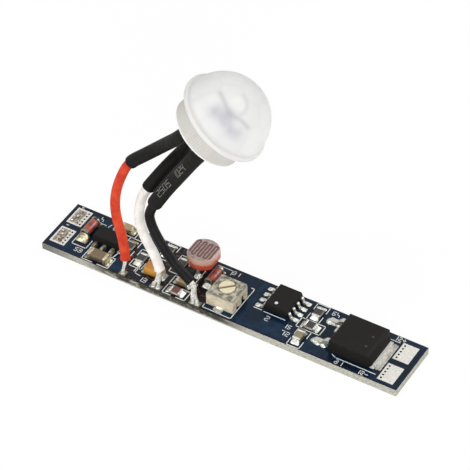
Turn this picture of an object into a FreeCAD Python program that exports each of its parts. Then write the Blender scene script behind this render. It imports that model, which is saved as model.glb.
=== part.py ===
# Motion sensor switch: a narrow circuit board with a light sensor and a timer,
# and a domed motion sensor head that stands on its three wires.
#
# Frame: millimetres, +Z up, origin at the centre of the board's underside,
# +X along the board towards the output lands, +Y to its back edge.

import FreeCAD, Part
import math
import os
import re

import Sketcher

Vector = FreeCAD.Vector
doc = FreeCAD.newDocument("MotionSensorSwitch")

# Driving dimensions, in millimetres and degrees

SIZES = [
    # Board and its copper
    ("board_width", 10.0),
    ("board_thickness", 1.2),
    ("copper_thickness", 0.05),
    ("left_margin", 0.6),
    ("right_margin", 1.0),
    ("land_length", 2.6),
    ("land_width", 3.6),
    ("land_gap", 1.1),
    ("supply_shift", 0.22),
    ("output_shift", -0.12),
    ("via_diameter", 0.35),
    ("via_pitch", 0.66),
    ("via_inset", 0.45),
    ("front_clearance", 0.6),
    ("back_clearance", 0.55),
    ("pad_overhang", 0.35),
    ("pad_margin", 0.1),
    # Spaces between the parts, from the left end to the right
    ("land_to_diode", 0.95),
    ("diode_to_regulator", 0.85),
    ("regulator_to_chip", 0.43),
    ("chip_to_chip", 1.65),
    ("chip_to_tantalum", 1.12),
    ("tantalum_to_chip", 0.28),
    ("chip_to_pair", 0.675),
    ("pair_to_photocell", 1.035),
    ("photocell_to_diode", 1.51),
    ("diode_to_trimmer", 0.8),
    ("trimmer_to_timer", 2.45),
    ("timer_to_chips", 1.775),
    ("chips_to_transistor", 0.975),
    ("tab_to_land", 1.2),
    # Chips of the common 2.0 by 1.25 size
    ("chip_length", 2.0),
    ("chip_width", 1.25),
    ("chip_end", 0.4),
    ("resistor_height", 0.55),
    ("capacitor_height", 0.85),
    ("resistor_1_shift", 0.6),
    ("resistor_2_shift", -0.55),
    ("resistor_3_offset", 0.6),
    ("pair_gap", 0.85),
    ("column_front", 1.1),
    ("column_back", 1.15),
    # Large ceramic capacitor at the input
    ("input_length", 3.2),
    ("input_width", 1.6),
    ("input_height", 1.1),
    ("input_end", 0.5),
    ("input_offset", 0.55),
    # Regulator
    ("regulator_width", 4.5),
    ("regulator_depth", 2.5),
    ("regulator_height", 1.5),
    ("regulator_pitch", 1.5),
    ("regulator_lead", 0.5),
    ("regulator_reach", 1.1),
    ("regulator_metal", 0.4),
    ("regulator_bevel", 0.22),
    ("regulator_tab", 1.7),
    ("regulator_tab_reach", 0.5),
    ("regulator_share", 0.37),
    # Glass diodes
    ("diode_diameter", 1.5),
    ("diode_length", 3.5),
    ("diode_cap", 0.5),
    ("diode_neck", 0.05),
    ("diode_solder_width", 1.2),
    ("diode_solder_height", 0.9),
    ("diode_in_shift", 0.9),
    ("diode_out_shift", 1.3),
    # Tantalum capacitor
    ("tantalum_length", 3.2),
    ("tantalum_width", 1.6),
    ("tantalum_height", 1.6),
    ("tantalum_terminal", 0.12),
    ("tantalum_terminal_width", 1.2),
    ("tantalum_terminal_height", 0.8),
    ("tantalum_pad", 0.75),
    ("tantalum_edge", 2.1),
    # Photocell on two straight leads
    ("photocell_diameter", 5.1),
    ("photocell_flat", 4.3),
    ("photocell_thickness", 2.0),
    ("photocell_lift", 2.0),
    ("photocell_edge", 2.5),
    ("photocell_pitch", 3.4),
    ("lead_diameter", 0.5),
    ("lead_clearance", 0.1),
    ("track_width", 0.2),
    ("track_pitch", 0.5),
    ("track_depth", 0.06),
    ("track_straight", 2.64),
    # Trimmer
    ("trimmer_width", 4.6),
    ("trimmer_depth", 4.6),
    ("trimmer_height", 1.9),
    ("trimmer_shift", -1.3),
    ("trimmer_corner", 1.0),
    ("trimmer_plate", 0.2),
    ("trimmer_plate_margin", 0.25),
    ("trimmer_lip", 0.7),
    ("trimmer_recess", 0.45),
    ("trimmer_recess_width", 2.5),
    ("trimmer_recess_height", 1.35),
    ("trimmer_bulge", 1.6),
    ("trimmer_wiper_width", 1.5),
    ("trimmer_end_width", 0.9),
    ("trimmer_end_pitch", 2.3),
    ("rotor_diameter", 2.5),
    ("rotor_height", 0.9),
    ("rotor_rise", 0.3),
    ("rotor_slot", 0.5),
    ("rotor_slot_depth", 0.45),
    ("rotor_slot_angle", 43.0),
    ("rotor_pin", 1.0),
    ("rotor_pin_length", 0.8),
    ("rotor_play", 0.05),
    # Timer chip
    ("timer_width", 3.9),
    ("timer_depth", 4.9),
    ("timer_height", 1.45),
    ("timer_standoff", 0.1),
    ("timer_span", 6.0),
    ("timer_pitch", 1.27),
    ("timer_lead", 0.42),
    ("timer_metal", 0.2),
    ("timer_foot", 0.6),
    ("timer_bevel", 0.22),
    ("timer_edge", 3.05),
    # Output transistor
    ("transistor_length", 6.1),
    ("transistor_width", 6.5),
    ("transistor_height", 2.3),
    ("transistor_metal", 0.5),
    ("transistor_lead", 0.76),
    ("transistor_pitch", 2.3),
    ("transistor_reach", 2.7),
    ("transistor_foot", 1.2),
    ("transistor_stub", 0.7),
    ("transistor_leg_height", 1.05),
    ("transistor_tab", 5.4),
    ("transistor_tab_reach", 1.4),
    ("transistor_tab_under", 2.2),
    ("transistor_bevel", 0.35),
    ("transistor_shift", 0.2),
    ("mark_diameter", 0.45),
    ("mark_depth", 0.12),
    ("mark_inset", 0.75),
    ("mark_pitch", 2.15),
    ("mark_shift", -0.62),
    # Sensor head: place of the flange's top and direction of the lens
    ("head_x", -0.98),
    ("head_y", 0.64),
    ("head_z", 35.48),
    ("head_tilt", 40.3),
    ("head_turn", 24.8),
    ("flange_diameter", 14.5),
    ("flange_thickness", 0.8),
    ("flange_lip", 0.5),
    ("dome_height", 6.1),
    ("dome_wall", 0.5),
    ("facet_depth", 0.2),
    ("facet_ring_angle", 30.0),
    ("skirt_wall", 1.1),
    ("skirt_length", 3.6),
    ("can_play", 0.05),
    ("can_flange_diameter", 9.2),
    ("can_rim", 0.5),
    ("can_height", 4.0),
    ("can_wall", 0.3),
    ("header_thickness", 0.5),
    ("header_recess", 0.2),
    ("window_length", 4.0),
    ("window_width", 3.0),
    ("window_thickness", 0.4),
    ("window_overlap", 0.4),
    ("element_side", 3.0),
    ("element_height", 1.0),
    ("pin_circle", 5.08),
    ("pin_diameter", 0.45),
    ("pin_length", 1.8),
    ("pin_post", 0.9),
    ("pin_play", 0.02),
    ("pin_angle", 130.0),
    # Wires, their sleeves and bare ends
    ("wire_diameter", 1.5),
    ("sleeve_diameter", 2.05),
    ("wide_sleeve_diameter", 2.35),
    ("sleeve_play", 0.03),
    ("sleeve_start", 0.3),
    ("red_sleeve_end", 17.2),
    ("white_sleeve_end", 17.3),
    ("black_sleeve_end", 17.4),
    ("splice_diameter", 0.8),
    ("splice_length", 1.2),
    ("strand_diameter", 0.42),
    ("strand_spacing", 0.5),
    ("strand_start", 0.5),
    ("strand_drop", 0.5),
    ("strand_pitch", 0.78),
    ("red_spot_shift", -0.85),
    ("white_spot_shift", 1.575),
    ("black_spot_shift", 0.1),
    ("solder_height", 0.6),
    ("solder_radius", 0.55),
    ("cone_base", 0.55),
    ("cone_top", 0.46),
    ("solder_edge", 0.1),
    ("fillet_height_share", 0.7),
]

# Places along the board, worked out from the left end and then from the centre

ALONG = [
    ("diode_in", "left_margin + land_length + land_to_diode + diode_diameter / 2"),
    ("regulator", "diode_in_u + diode_diameter / 2 + diode_to_regulator + regulator_width / 2"),
    ("resistor_1", "regulator_u + regulator_width / 2 + regulator_to_chip + chip_width / 2"),
    ("resistor_2", "resistor_1_u + chip_width + chip_to_chip"),
    ("tantalum", "resistor_2_u + chip_width / 2 + chip_to_tantalum + tantalum_length / 2"),
    ("resistor_4", "tantalum_u + tantalum_length / 2 + tantalum_to_chip + chip_width / 2"),
    ("pair", "resistor_4_u + chip_width / 2 + chip_to_pair + chip_length / 2"),
    ("photocell", "pair_u + pair_to_photocell"),
    ("diode_out", "photocell_u + lead_diameter / 2 + photocell_to_diode + diode_diameter / 2"),
    ("trimmer", "diode_out_u + diode_diameter / 2 + diode_to_trimmer + trimmer_width / 2"),
    ("timer", "trimmer_u + trimmer_width / 2 + trimmer_to_timer + timer_span / 2"),
    ("column", "timer_u + timer_span / 2 + timer_to_chips + chip_width / 2"),
    ("cross", "column_u + (chip_length - chip_width) / 2"),
    ("transistor", "cross_u + chip_length / 2 + chips_to_transistor + transistor_reach"
                   " + transistor_length / 2"),
]
END = ("transistor_u + transistor_length / 2 + transistor_tab_reach + tab_to_land"
       " + land_length + right_margin")

PLACES = [(name + "_u", formula) for name, formula in ALONG]
PLACES += [("board_length", END)]
PLACES += [(name + "_x", name + "_u - board_length / 2") for name, formula in ALONG]
PLACES += [
    ("seat", "board_thickness + copper_thickness"),
    ("supply_x", "left_margin + land_length / 2 - board_length / 2"),
    ("output_x", "board_length / 2 - right_margin - land_length / 2"),
    ("input_x", "regulator_x + input_offset"),
    ("input_y", "-board_width / 2 + front_clearance + input_width / 2"),
    ("capacitor_1_x", "regulator_x + chip_length / 2"),
    ("capacitor_1_y", "board_width / 2 - back_clearance - chip_width / 2"),
    ("regulator_room", "capacitor_1_y - input_y - (chip_width + input_width) / 2"
                       " - regulator_reach - regulator_depth - regulator_tab_reach"),
    ("regulator_y", "input_y + input_width / 2 + regulator_room * regulator_share + regulator_reach"
                    " + regulator_depth / 2"),
    ("resistor_1_y", "regulator_y + resistor_1_shift"),
    ("resistor_2_y", "resistor_2_shift"),
    ("photocell_y", "board_width / 2 - photocell_edge"),
    ("timer_shift", "board_width / 2 - timer_edge"),
    ("resistor_4_y", "photocell_y - chip_length / 2"),
    ("resistor_3_x", "tantalum_x - resistor_3_offset"),
    ("resistor_3_y", "board_width / 2 - back_clearance - chip_end - chip_length / 2"),
    ("resistor_5_y", "-board_width / 2 + back_clearance + chip_width / 2"),
    ("capacitor_2_y", "resistor_5_y + chip_width + pair_gap"),
    ("column_gap", "(board_width - column_front - column_back - 2 * chip_length - chip_width) / 2"),
    ("capacitor_3_y", "-board_width / 2 + column_front + chip_length / 2"),
    ("resistor_7_y", "capacitor_3_y + chip_length / 2 + column_gap + chip_width / 2"),
    ("resistor_6_y", "resistor_7_y + chip_width / 2 + column_gap + chip_length / 2"),
    ("tantalum_y", "-board_width / 2 + tantalum_edge + tantalum_width / 2"),
    ("dome_diameter", "flange_diameter - 2 * flange_lip"),
    ("dome_radius", "(dome_diameter^2 / 4 + dome_height^2) / (2 * dome_height)"),
    ("dome_centre", "dome_height - dome_radius"),
    ("can_diameter", "can_flange_diameter - 2 * can_rim"),
    ("can_bore", "can_diameter - 2 * can_wall"),
    ("skirt_bottom", "-flange_thickness - skirt_length"),
    ("skirt_bore", "can_flange_diameter + 2 * can_play"),
    ("header_bottom", "skirt_bottom + header_recess"),
    ("header_top", "header_bottom + header_thickness"),
    ("can_top", "header_top + can_height"),
    ("plate_base", "seat + trimmer_height"),
    ("rotor_base", "plate_base + trimmer_plate + rotor_rise - rotor_height"),
]

sizes = doc.addObject("Spreadsheet::Sheet", "Sizes")
for row, (name, value) in enumerate(SIZES, start=1):
    sizes.set(f"A{row}", name)
    sizes.set(f"B{row}", str(value))
    sizes.setAlias(f"B{row}", name)
doc.recompute()

OWNER = {name: "Sizes" for name, value in SIZES}
OWNER.update({name: "Places" for name, formula in PLACES})


def worked(formula):
    """The formula with the sheet's name before each size or place in it."""
    def full(match):
        word = match.group(0)
        return f"{OWNER[word]}.{word}" if word in OWNER else word
    return re.sub(r"[a-z]\w*", full, formula)


places = doc.addObject("Spreadsheet::Sheet", "Places")
for row, (name, formula) in enumerate(PLACES, start=1):
    places.set(f"A{row}", name)
    places.setAlias(f"B{row}", name)
for row, (name, formula) in enumerate(PLACES, start=1):
    text = re.sub(r"Places\.", "", worked(formula))
    places.set(f"B{row}", "=" + text)
doc.recompute()


def size(name):
    """A size or place as a plain number, for the shapes that no feature makes."""
    return float((sizes if OWNER[name] == "Sizes" else places).get(name))


# Small helpers: each makes one object whose sizes are bound to the sheet

def bind(thing, **formulas):
    for path, formula in formulas.items():
        thing.setExpression(path.replace("_at_", "."), worked(str(formula)))
    return thing


def move(thing, x="0", y="0", z="0"):
    return bind(thing, Placement_at_Base_at_x=x, Placement_at_Base_at_y=y, Placement_at_Base_at_z=z)


def new(kind, label):
    thing = doc.addObject(kind, label)
    thing.Label = label
    return thing


def block(label, x, y, z, dx, dy, dz):
    """A box centred on x and y, with its underside at z."""
    thing = bind(new("Part::Box", label), Length=dx, Width=dy, Height=dz)
    return move(thing, f"{x} - ({dx}) / 2", f"{y} - ({dy}) / 2", z)


def post(label, x, y, z, diameter, height):
    """An upright cylinder with its underside at z."""
    thing = bind(new("Part::Cylinder", label), Radius=f"({diameter}) / 2", Height=height)
    return move(thing, x, y, z)


def cut(label, base, tool):
    thing = new("Part::Cut", label)
    thing.Base = base
    thing.Tool = tool
    return thing


def join(label, pieces):
    thing = new("Part::MultiFuse", label)
    thing.Shapes = pieces
    return thing


def group(label, pieces):
    """Separate solids that share one node."""
    thing = new("Part::Compound", label)
    thing.Links = pieces
    return thing


def plane_of(body, role):
    return next(item for item in body.Origin.OriginFeatures if item.Role == role)


def sketch_in(body, role, name):
    drawing = body.newObject("Sketcher::SketchObject", name)
    drawing.AttachmentSupport = [(plane_of(body, role), "")]
    drawing.MapMode = "FlatFace"
    return drawing


def outline(drawing, corners):
    """A closed polygon through corners, each a pair of formulas."""
    values = [tuple(number(part) for part in corner) for corner in corners]
    count = len(corners)
    first = drawing.GeometryCount
    for index, (x, y) in enumerate(values):
        after = values[(index + 1) % count]
        drawing.addGeometry(Part.LineSegment(Vector(x, y, 0), Vector(*after, 0)), False)
    for index in range(count):
        after = first + (index + 1) % count
        drawing.addConstraint(Sketcher.Constraint("Coincident", first + index, 2, after, 1))
    for index, (x, y) in enumerate(corners):
        curve = first + index
        for kind, formula, value in (("DistanceX", x, values[index][0]), ("DistanceY", y, values[index][1])):
            row = drawing.addConstraint(Sketcher.Constraint(kind, -1, 1, curve, 1, value))
            drawing.setExpression(f"Constraints[{row}]", worked(formula))


def ring(drawing, x, y, diameter):
    """A circle whose centre and diameter are formulas."""
    centre = Vector(number(x), number(y), 0)
    curve = drawing.addGeometry(Part.Circle(centre, Vector(0, 0, 1), number(diameter) / 2), False)
    for kind, formula, value in (("DistanceX", x, centre.x), ("DistanceY", y, centre.y)):
        row = drawing.addConstraint(Sketcher.Constraint(kind, -1, 1, curve, 3, value))
        drawing.setExpression(f"Constraints[{row}]", worked(formula))
    row = drawing.addConstraint(Sketcher.Constraint("Diameter", curve, number(diameter)))
    drawing.setExpression(f"Constraints[{row}]", worked(diameter))


def number(formula):
    """The value of a formula, for the first drawing of a curve."""
    probe = doc.getObject("Probe") or doc.addObject("App::FeaturePython", "Probe")
    if "Value" not in probe.PropertiesList:
        probe.addProperty("App::PropertyFloat", "Value")
    probe.setExpression("Value", worked(formula))
    probe.recompute()
    return probe.Value


PARTS = []


def finished(*things):
    PARTS.extend(things)
    return things[0]


def solid_body(label):
    body = doc.addObject("PartDesign::Body", label)
    body.Label = label
    return body


def pad(body, name, drawing, length, kind="PartDesign::Pad"):
    feature = body.newObject(kind, name)
    feature.Profile = drawing
    bind(feature, Length=length)
    drawing.Visibility = False
    doc.recompute()
    return feature


def moulded(label, x, y, z, dx, dy, dz, bevel):
    """A moulded package: a block whose top edges are bevelled."""
    body = solid_body(label)
    base = body.newObject("PartDesign::AdditiveBox", label + "_block")
    bind(base, Length=dx, Width=dy, Height=dz)
    doc.recompute()
    edge = body.newObject("PartDesign::Chamfer", label + "_bevel")
    edge.Base = (base, ["Face6"])
    bind(edge, Size=bevel)
    move(body, f"{x} - ({dx}) / 2", f"{y} - ({dy}) / 2", z)
    return body


# Circuit board, with its plated holes

VIA_STEPS = (-2, -1, 0, 1, 2)
LANDS = [
    ("supply_land_plus", "supply_x", "supply_shift", 1, 1),
    ("supply_land_minus", "supply_x", "supply_shift", -1, 1),
    ("output_land_plus", "output_x", "output_shift", 1, -1),
    ("output_land_minus", "output_x", "output_shift", -1, -1),
]


def land_y(shift, side):
    return f"{shift} + {side} * (land_gap + land_width) / 2"


def vias(x, shift, side, inward):
    """Centres of the row of plated holes in one land."""
    row = f"{x} + {inward} * (land_length / 2 - via_inset)"
    return [(row, f"{land_y(shift, side)} + {step} * via_pitch") for step in VIA_STEPS]


board = solid_body("circuit_board")
board_face = sketch_in(board, "XY_Plane", "board_face")
HALF_LENGTH, HALF_WIDTH = "board_length / 2", "board_width / 2"
outline(board_face, [
    (f"-{HALF_LENGTH}", f"-{HALF_WIDTH}"),
    (HALF_LENGTH, f"-{HALF_WIDTH}"),
    (HALF_LENGTH, HALF_WIDTH),
    (f"-{HALF_LENGTH}", HALF_WIDTH),
])
for name, x, shift, side, inward in LANDS:
    for via_x, via_y in vias(x, shift, side, inward):
        ring(board_face, via_x, via_y, "via_diameter")
PHOTOCELL_LEADS = [("photocell_x", f"photocell_y + {side} * photocell_pitch / 2") for side in (-1, 1)]
for lead_x, lead_y in PHOTOCELL_LEADS:
    ring(board_face, lead_x, lead_y, "lead_diameter + 2 * lead_clearance")
pad(board, "board_pad", board_face, "board_thickness")
finished(board)

for name, x, shift, side, inward in LANDS:
    plate = block(name + "_plate", x, land_y(shift, side), "board_thickness",
                  "land_length", "land_width", "copper_thickness")
    holes = [post(f"{name}_hole_{count}", *centre, "board_thickness", "via_diameter", "copper_thickness")
             for count, centre in enumerate(vias(x, shift, side, inward))]
    finished(cut(name, plate, join(name + "_holes", holes)))

# Two-ended parts: chips, the input capacitor and the tantalum capacitor

COPPER = []
ENDS = []
FILLETS = []


def two_ended(label, x, y, turned, length, width, height, end):
    """A chip with a metal end at each side; turned ones lie across the board."""
    span = f"({length}) - 2 * ({end})"
    if turned:
        body = block(label, x, y, "seat", width, span, height)
    else:
        body = block(label, x, y, "seat", span, width, height)
    for side in (-1, 1):
        offset = f"{side} * (({length}) - ({end})) / 2"
        reach = f"{side} * (({length}) - ({end}) + pad_overhang) / 2"
        name = f"{label}_end_{side + 1}"
        if turned:
            ENDS.append(block(name, x, f"{y} + {offset}", "seat", width, end, height))
            COPPER.append((x, f"{y} + {reach}", width, f"({end}) + pad_overhang"))
        else:
            ENDS.append(block(name, f"{x} + {offset}", y, "seat", end, width, height))
            COPPER.append((f"{x} + {reach}", y, f"({end}) + pad_overhang", width))
        FILLETS.append((x, y, turned, side, f"({length}) / 2", width, height))
    return finished(body)


CHIPS = [
    ("chip_resistor_1", "resistor_1_x", "resistor_1_y", True, "resistor_height"),
    ("chip_resistor_2", "resistor_2_x", "resistor_2_y", True, "resistor_height"),
    ("chip_resistor_3", "resistor_3_x", "resistor_3_y", True, "resistor_height"),
    ("chip_resistor_4", "resistor_4_x", "resistor_4_y", True, "resistor_height"),
    ("chip_resistor_5", "pair_x", "resistor_5_y", False, "resistor_height"),
    ("chip_resistor_6", "column_x", "resistor_6_y", True, "resistor_height"),
    ("chip_resistor_7", "cross_x", "resistor_7_y", False, "resistor_height"),
    ("chip_capacitor_1", "capacitor_1_x", "capacitor_1_y", False, "capacitor_height"),
    ("chip_capacitor_2", "pair_x", "capacitor_2_y", False, "capacitor_height"),
    ("chip_capacitor_3", "column_x", "capacitor_3_y", True, "capacitor_height"),
]
for name, x, y, turned, height in CHIPS:
    two_ended(name, x, y, turned, "chip_length", "chip_width", height, "chip_end")
two_ended("input_capacitor", "input_x", "input_y", False,
          "input_length", "input_width", "input_height", "input_end")
finished(group("chip_ends", ENDS))

TANTALUM_SPAN = "tantalum_length - 2 * tantalum_terminal"
finished(moulded("tantalum_capacitor", "tantalum_x", "tantalum_y", "seat",
                 TANTALUM_SPAN, "tantalum_width", "tantalum_height", "tantalum_terminal"))
terminals = []
for side in (-1, 1):
    terminals.append(block(f"tantalum_terminal_{side + 1}",
                           f"tantalum_x + {side} * (tantalum_length - tantalum_terminal) / 2", "tantalum_y",
                           "seat", "tantalum_terminal", "tantalum_terminal_width",
                           "tantalum_terminal_height"))
    COPPER.append((f"tantalum_x + {side} * (tantalum_length / 2 + pad_overhang - tantalum_pad / 2)",
                   "tantalum_y", "tantalum_pad", "tantalum_width"))
    FILLETS.append(("tantalum_x", "tantalum_y", False, side, "tantalum_length / 2",
                    "tantalum_terminal_width", "tantalum_terminal_height"))
finished(group("tantalum_terminals", terminals))

# Glass diodes, lying across the board


def diode(label, x, y):
    """A glass tube between two metal caps, and the pads under the caps."""
    height = "seat + diode_diameter / 2"
    glass_length = "diode_length - 2 * diode_cap"
    pieces = []
    for name, start, length, width in (
            ("glass", f"{y} - ({glass_length}) / 2", glass_length, "diode_diameter - 2 * diode_neck"),
            ("cap_front", f"{y} - diode_length / 2", "diode_cap", "diode_diameter"),
            ("cap_back", f"{y} + diode_length / 2 - diode_cap", "diode_cap", "diode_diameter")):
        piece = bind(new("Part::Cylinder", f"{label}_{name}"), Radius=f"({width}) / 2", Height=length)
        piece.Placement.Rotation = FreeCAD.Rotation(Vector(1, 0, 0), -90)
        pieces.append(move(piece, x, start, height))
    glass, front, back = pieces
    finished(glass)
    finished(group(label + "_caps", [front, back]))
    for side in (-1, 1):
        COPPER.append((x, f"{y} + {side} * (diode_length - diode_cap + pad_overhang) / 2",
                       "diode_diameter", "diode_cap + pad_overhang"))
        FILLETS.append((x, y, True, side, "diode_length / 2", "diode_solder_width", "diode_solder_height"))


diode("diode_in", "diode_in_x", "diode_in_shift")
diode("diode_out", "diode_out_x", "diode_out_shift")

# Formed metal: a strip or a round wire carried along straight runs and arcs

BEND_SHARE = 0.45


def route(points, radius=None):
    """The edges of a path: straight runs joined by arcs as large as they allow."""
    edges = []
    start = points[0]
    for before, corner, after in zip(points, points[1:], points[2:]):
        back = (before - corner).normalize()
        ahead = (after - corner).normalize()
        half = back.getAngle(ahead) / 2
        run = BEND_SHARE * min(corner.distanceToPoint(before), corner.distanceToPoint(after))
        if radius is not None:
            run = min(run, radius / math.tan(half))
        bulge = run / math.cos(half) - run * math.tan(half)
        middle = corner + (back + ahead).normalize() * bulge
        edges.append(Part.LineSegment(start, corner + back * run).toShape())
        edges.append(Part.Arc(corner + back * run, middle, corner + ahead * run).toShape())
        start = corner + ahead * run
    edges.append(Part.LineSegment(start, points[-1]).toShape())
    return edges


def square_to(edge):
    """Start point and direction of an edge."""
    return edge.valueAt(edge.FirstParameter), edge.tangentAt(edge.FirstParameter)


def round_bar(edges, diameter):
    centre, ahead = square_to(edges[0])
    section = Part.Wire(Part.Circle(centre, ahead, diameter / 2).toShape())
    return Part.Wire(edges).makePipeShell([section], True, False)


def strip(points, across, width, thickness, radius):
    """A flat strip bent along a path; across is the direction of its width."""
    edges = route(points, radius)
    centre, ahead = square_to(edges[0])
    up = ahead.cross(across).normalize() * (thickness / 2)
    side = across * (width / 2)
    corners = [centre - side - up, centre + side - up, centre + side + up, centre - side + up]
    section = Part.makePolygon(corners + corners[:1])
    return Part.Wire(edges).makePipeShell([section], True, False)


def shaped(label, shapes):
    """A node made of free shapes; several stay separate solids."""
    thing = new("Part::Feature", label)
    thing.Shape = shapes[0] if len(shapes) == 1 else Part.makeCompound(shapes)
    return finished(thing)


# Regulator: flat package with three legs in front and a tab behind

moulded_regulator = moulded("regulator", "regulator_x", "regulator_y", "seat", "regulator_width",
                            "regulator_depth", "regulator_height", "regulator_bevel")
finished(moulded_regulator)
FRONT_REACH = "regulator_y - (regulator_depth + regulator_reach) / 2"
BACK_REACH = "regulator_y + (regulator_depth + regulator_tab_reach) / 2"
legs = [block(f"regulator_leg_{step + 1}", f"regulator_x + {step} * regulator_pitch", FRONT_REACH, "seat",
              "regulator_lead", "regulator_reach", "regulator_metal") for step in (-1, 0, 1)]
legs.append(block("regulator_tab_block", "regulator_x", BACK_REACH, "seat",
                  "regulator_tab", "regulator_tab_reach", "regulator_metal"))
finished(group("regulator_legs", legs))
COPPER.extend((f"regulator_x + {step} * regulator_pitch", FRONT_REACH, "regulator_lead + 2 * pad_margin",
               "regulator_reach") for step in (-1, 0, 1))
COPPER.append(("regulator_x", BACK_REACH, "regulator_tab + 2 * pad_margin", "regulator_tab_reach"))

# Photocell: a flat-sided disc with a winding track, on two straight leads

FACE = "board_thickness + photocell_lift + photocell_thickness"
disc = post("photocell_disc", "photocell_x", "photocell_y", "board_thickness + photocell_lift",
            "photocell_diameter", "photocell_thickness")
flats = block("photocell_flats", "photocell_x", "photocell_y", "board_thickness + photocell_lift",
              "photocell_flat", "photocell_diameter", "photocell_thickness")
photocell = new("Part::Common", "photocell")
photocell.Base = disc
photocell.Tool = flats
finished(photocell)
finished(group("photocell_leads", [
    post(f"photocell_lead_{count}", lead_x, lead_y, "0", "lead_diameter", "board_thickness + photocell_lift")
    for count, (lead_x, lead_y) in enumerate(PHOTOCELL_LEADS)]))

# Trimmer: base with a well, top plate, turning rotor and three terminals

base = solid_body("trimmer_base")
base_face = sketch_in(base, "XY_Plane", "trimmer_outline")
HALF_BASE, HALF_DEPTH = "trimmer_width / 2", "trimmer_depth / 2"


def corner_cut_outline(margin):
    """The trimmer's square with its right back corner cut off."""
    across, along = f"({HALF_BASE} - {margin})", f"({HALF_DEPTH} - {margin})"
    return [
        (f"-{across}", f"-{along}"),
        (across, f"-{along}"),
        (across, f"{along} - trimmer_corner"),
        (f"{across} - trimmer_corner", along),
        (f"-{across}", along),
    ]


outline(base_face, corner_cut_outline("0"))
pad(base, "trimmer_block", base_face, "trimmer_height")
recess = base.newObject("PartDesign::SubtractiveBox", "trimmer_recess_box")
bind(recess, Length="trimmer_recess", Width="trimmer_recess_width", Height="trimmer_recess_height",
     Placement_at_Base_at_x=f"{HALF_BASE} - trimmer_recess",
     Placement_at_Base_at_y="-trimmer_recess_width / 2")
doc.recompute()
bulge = base.newObject("PartDesign::AdditiveCylinder", "trimmer_bulge_post")
bind(bulge, Radius="trimmer_bulge / 2", Height="trimmer_recess_height",
     Placement_at_Base_at_x=f"{HALF_BASE} - trimmer_bulge / 2")
doc.recompute()
WELL_DIAMETER = "rotor_diameter + 2 * rotor_play"
SUNK = "rotor_height - rotor_rise - trimmer_plate + rotor_play"
well = base.newObject("PartDesign::SubtractiveCylinder", "trimmer_well")
bind(well, Radius=f"({WELL_DIAMETER}) / 2", Height=SUNK)
bind(well, Placement_at_Base_at_z=f"trimmer_height - ({SUNK})")
doc.recompute()
bore = base.newObject("PartDesign::SubtractiveCylinder", "trimmer_bore")
BORE_DEPTH = f"({SUNK} + rotor_pin_length + rotor_play)"
bind(bore, Radius="rotor_pin / 2 + rotor_play", Height=BORE_DEPTH)
bind(bore, Placement_at_Base_at_z=f"trimmer_height - {BORE_DEPTH}")
doc.recompute()
move(base, "trimmer_x", "trimmer_shift", "seat")
finished(base)

plate = solid_body("trimmer_plate_metal")
plate_face = sketch_in(plate, "XY_Plane", "trimmer_plate_face")
outline(plate_face, corner_cut_outline("trimmer_plate_margin"))
ring(plate_face, "0", "0", WELL_DIAMETER)
pad(plate, "trimmer_plate_pad", plate_face, "trimmer_plate")
move(plate, "trimmer_x", "trimmer_shift", "plate_base")
plate.Label = "trimmer_top_plate"
finished(plate)

head_disc = post("rotor_disc", "trimmer_x", "trimmer_shift", "rotor_base", "rotor_diameter", "rotor_height")
pin = post("rotor_spigot", "trimmer_x", "trimmer_shift", "rotor_base - rotor_pin_length",
           "rotor_pin", "rotor_pin_length")
slot = bind(new("Part::Box", "rotor_slot_box"), Length="2 * rotor_diameter", Width="rotor_slot",
            Height="rotor_height")
slot.Placement.Rotation = FreeCAD.Rotation(Vector(0, 0, 1), 1)
bind(slot, Placement_at_Rotation_at_Angle="rotor_slot_angle")
TURN = "rotor_slot_angle"
move(slot,
     f"trimmer_x - rotor_diameter * cos({TURN}) + rotor_slot / 2 * sin({TURN})",
     f"trimmer_shift - rotor_diameter * sin({TURN}) - rotor_slot / 2 * cos({TURN})",
     "rotor_base + rotor_height - rotor_slot_depth")
finished(cut("trimmer_rotor", join("rotor_blank", [head_disc, pin]), slot))

WIPER_Y = f"trimmer_shift - {HALF_DEPTH} - trimmer_lip / 2"
BACK_END_Y = f"trimmer_shift + {HALF_DEPTH} + trimmer_lip / 2"
lips = [block("trimmer_wiper", "trimmer_x", WIPER_Y, "seat", "trimmer_wiper_width", "trimmer_lip",
              "trimmer_plate")]
COPPER.append(("trimmer_x", WIPER_Y, "trimmer_wiper_width", "trimmer_lip"))
for side in (-1, 1):
    end_x = f"trimmer_x + {side} * trimmer_end_pitch / 2"
    lips.append(block(f"trimmer_end_{side + 1}", end_x, BACK_END_Y, "seat", "trimmer_end_width",
                      "trimmer_lip", "trimmer_plate"))
    COPPER.append((end_x, BACK_END_Y, "trimmer_end_width", "trimmer_lip"))
finished(group("trimmer_terminals", lips))

# Timer chip: bevelled package with four gull-wing legs on each side

finished(moulded("timer_chip", "timer_x", "timer_shift", "seat + timer_standoff",
                 "timer_width", "timer_depth", "timer_height", "timer_bevel"))
LEG_ROWS = (-1.5, -0.5, 0.5, 1.5)
SHOULDER_SHARE = 0.45
LEG_BEND_SHARE = 0.75


def gull_wing(x, y, side, body_reach, leg_height, foot, reach, width, thickness):
    """A leg that leaves a package level, drops and ends in a flat foot."""
    seat = size("seat")
    shoulder = body_reach + (reach - foot - body_reach) * SHOULDER_SHARE
    points = [
        Vector(x + side * body_reach, y, seat + leg_height),
        Vector(x + side * shoulder, y, seat + leg_height),
        Vector(x + side * (reach - foot), y, seat + thickness / 2),
        Vector(x + side * reach, y, seat + thickness / 2),
    ]
    return strip(points, Vector(0, 1, 0), width, thickness, thickness * LEG_BEND_SHARE)


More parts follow.
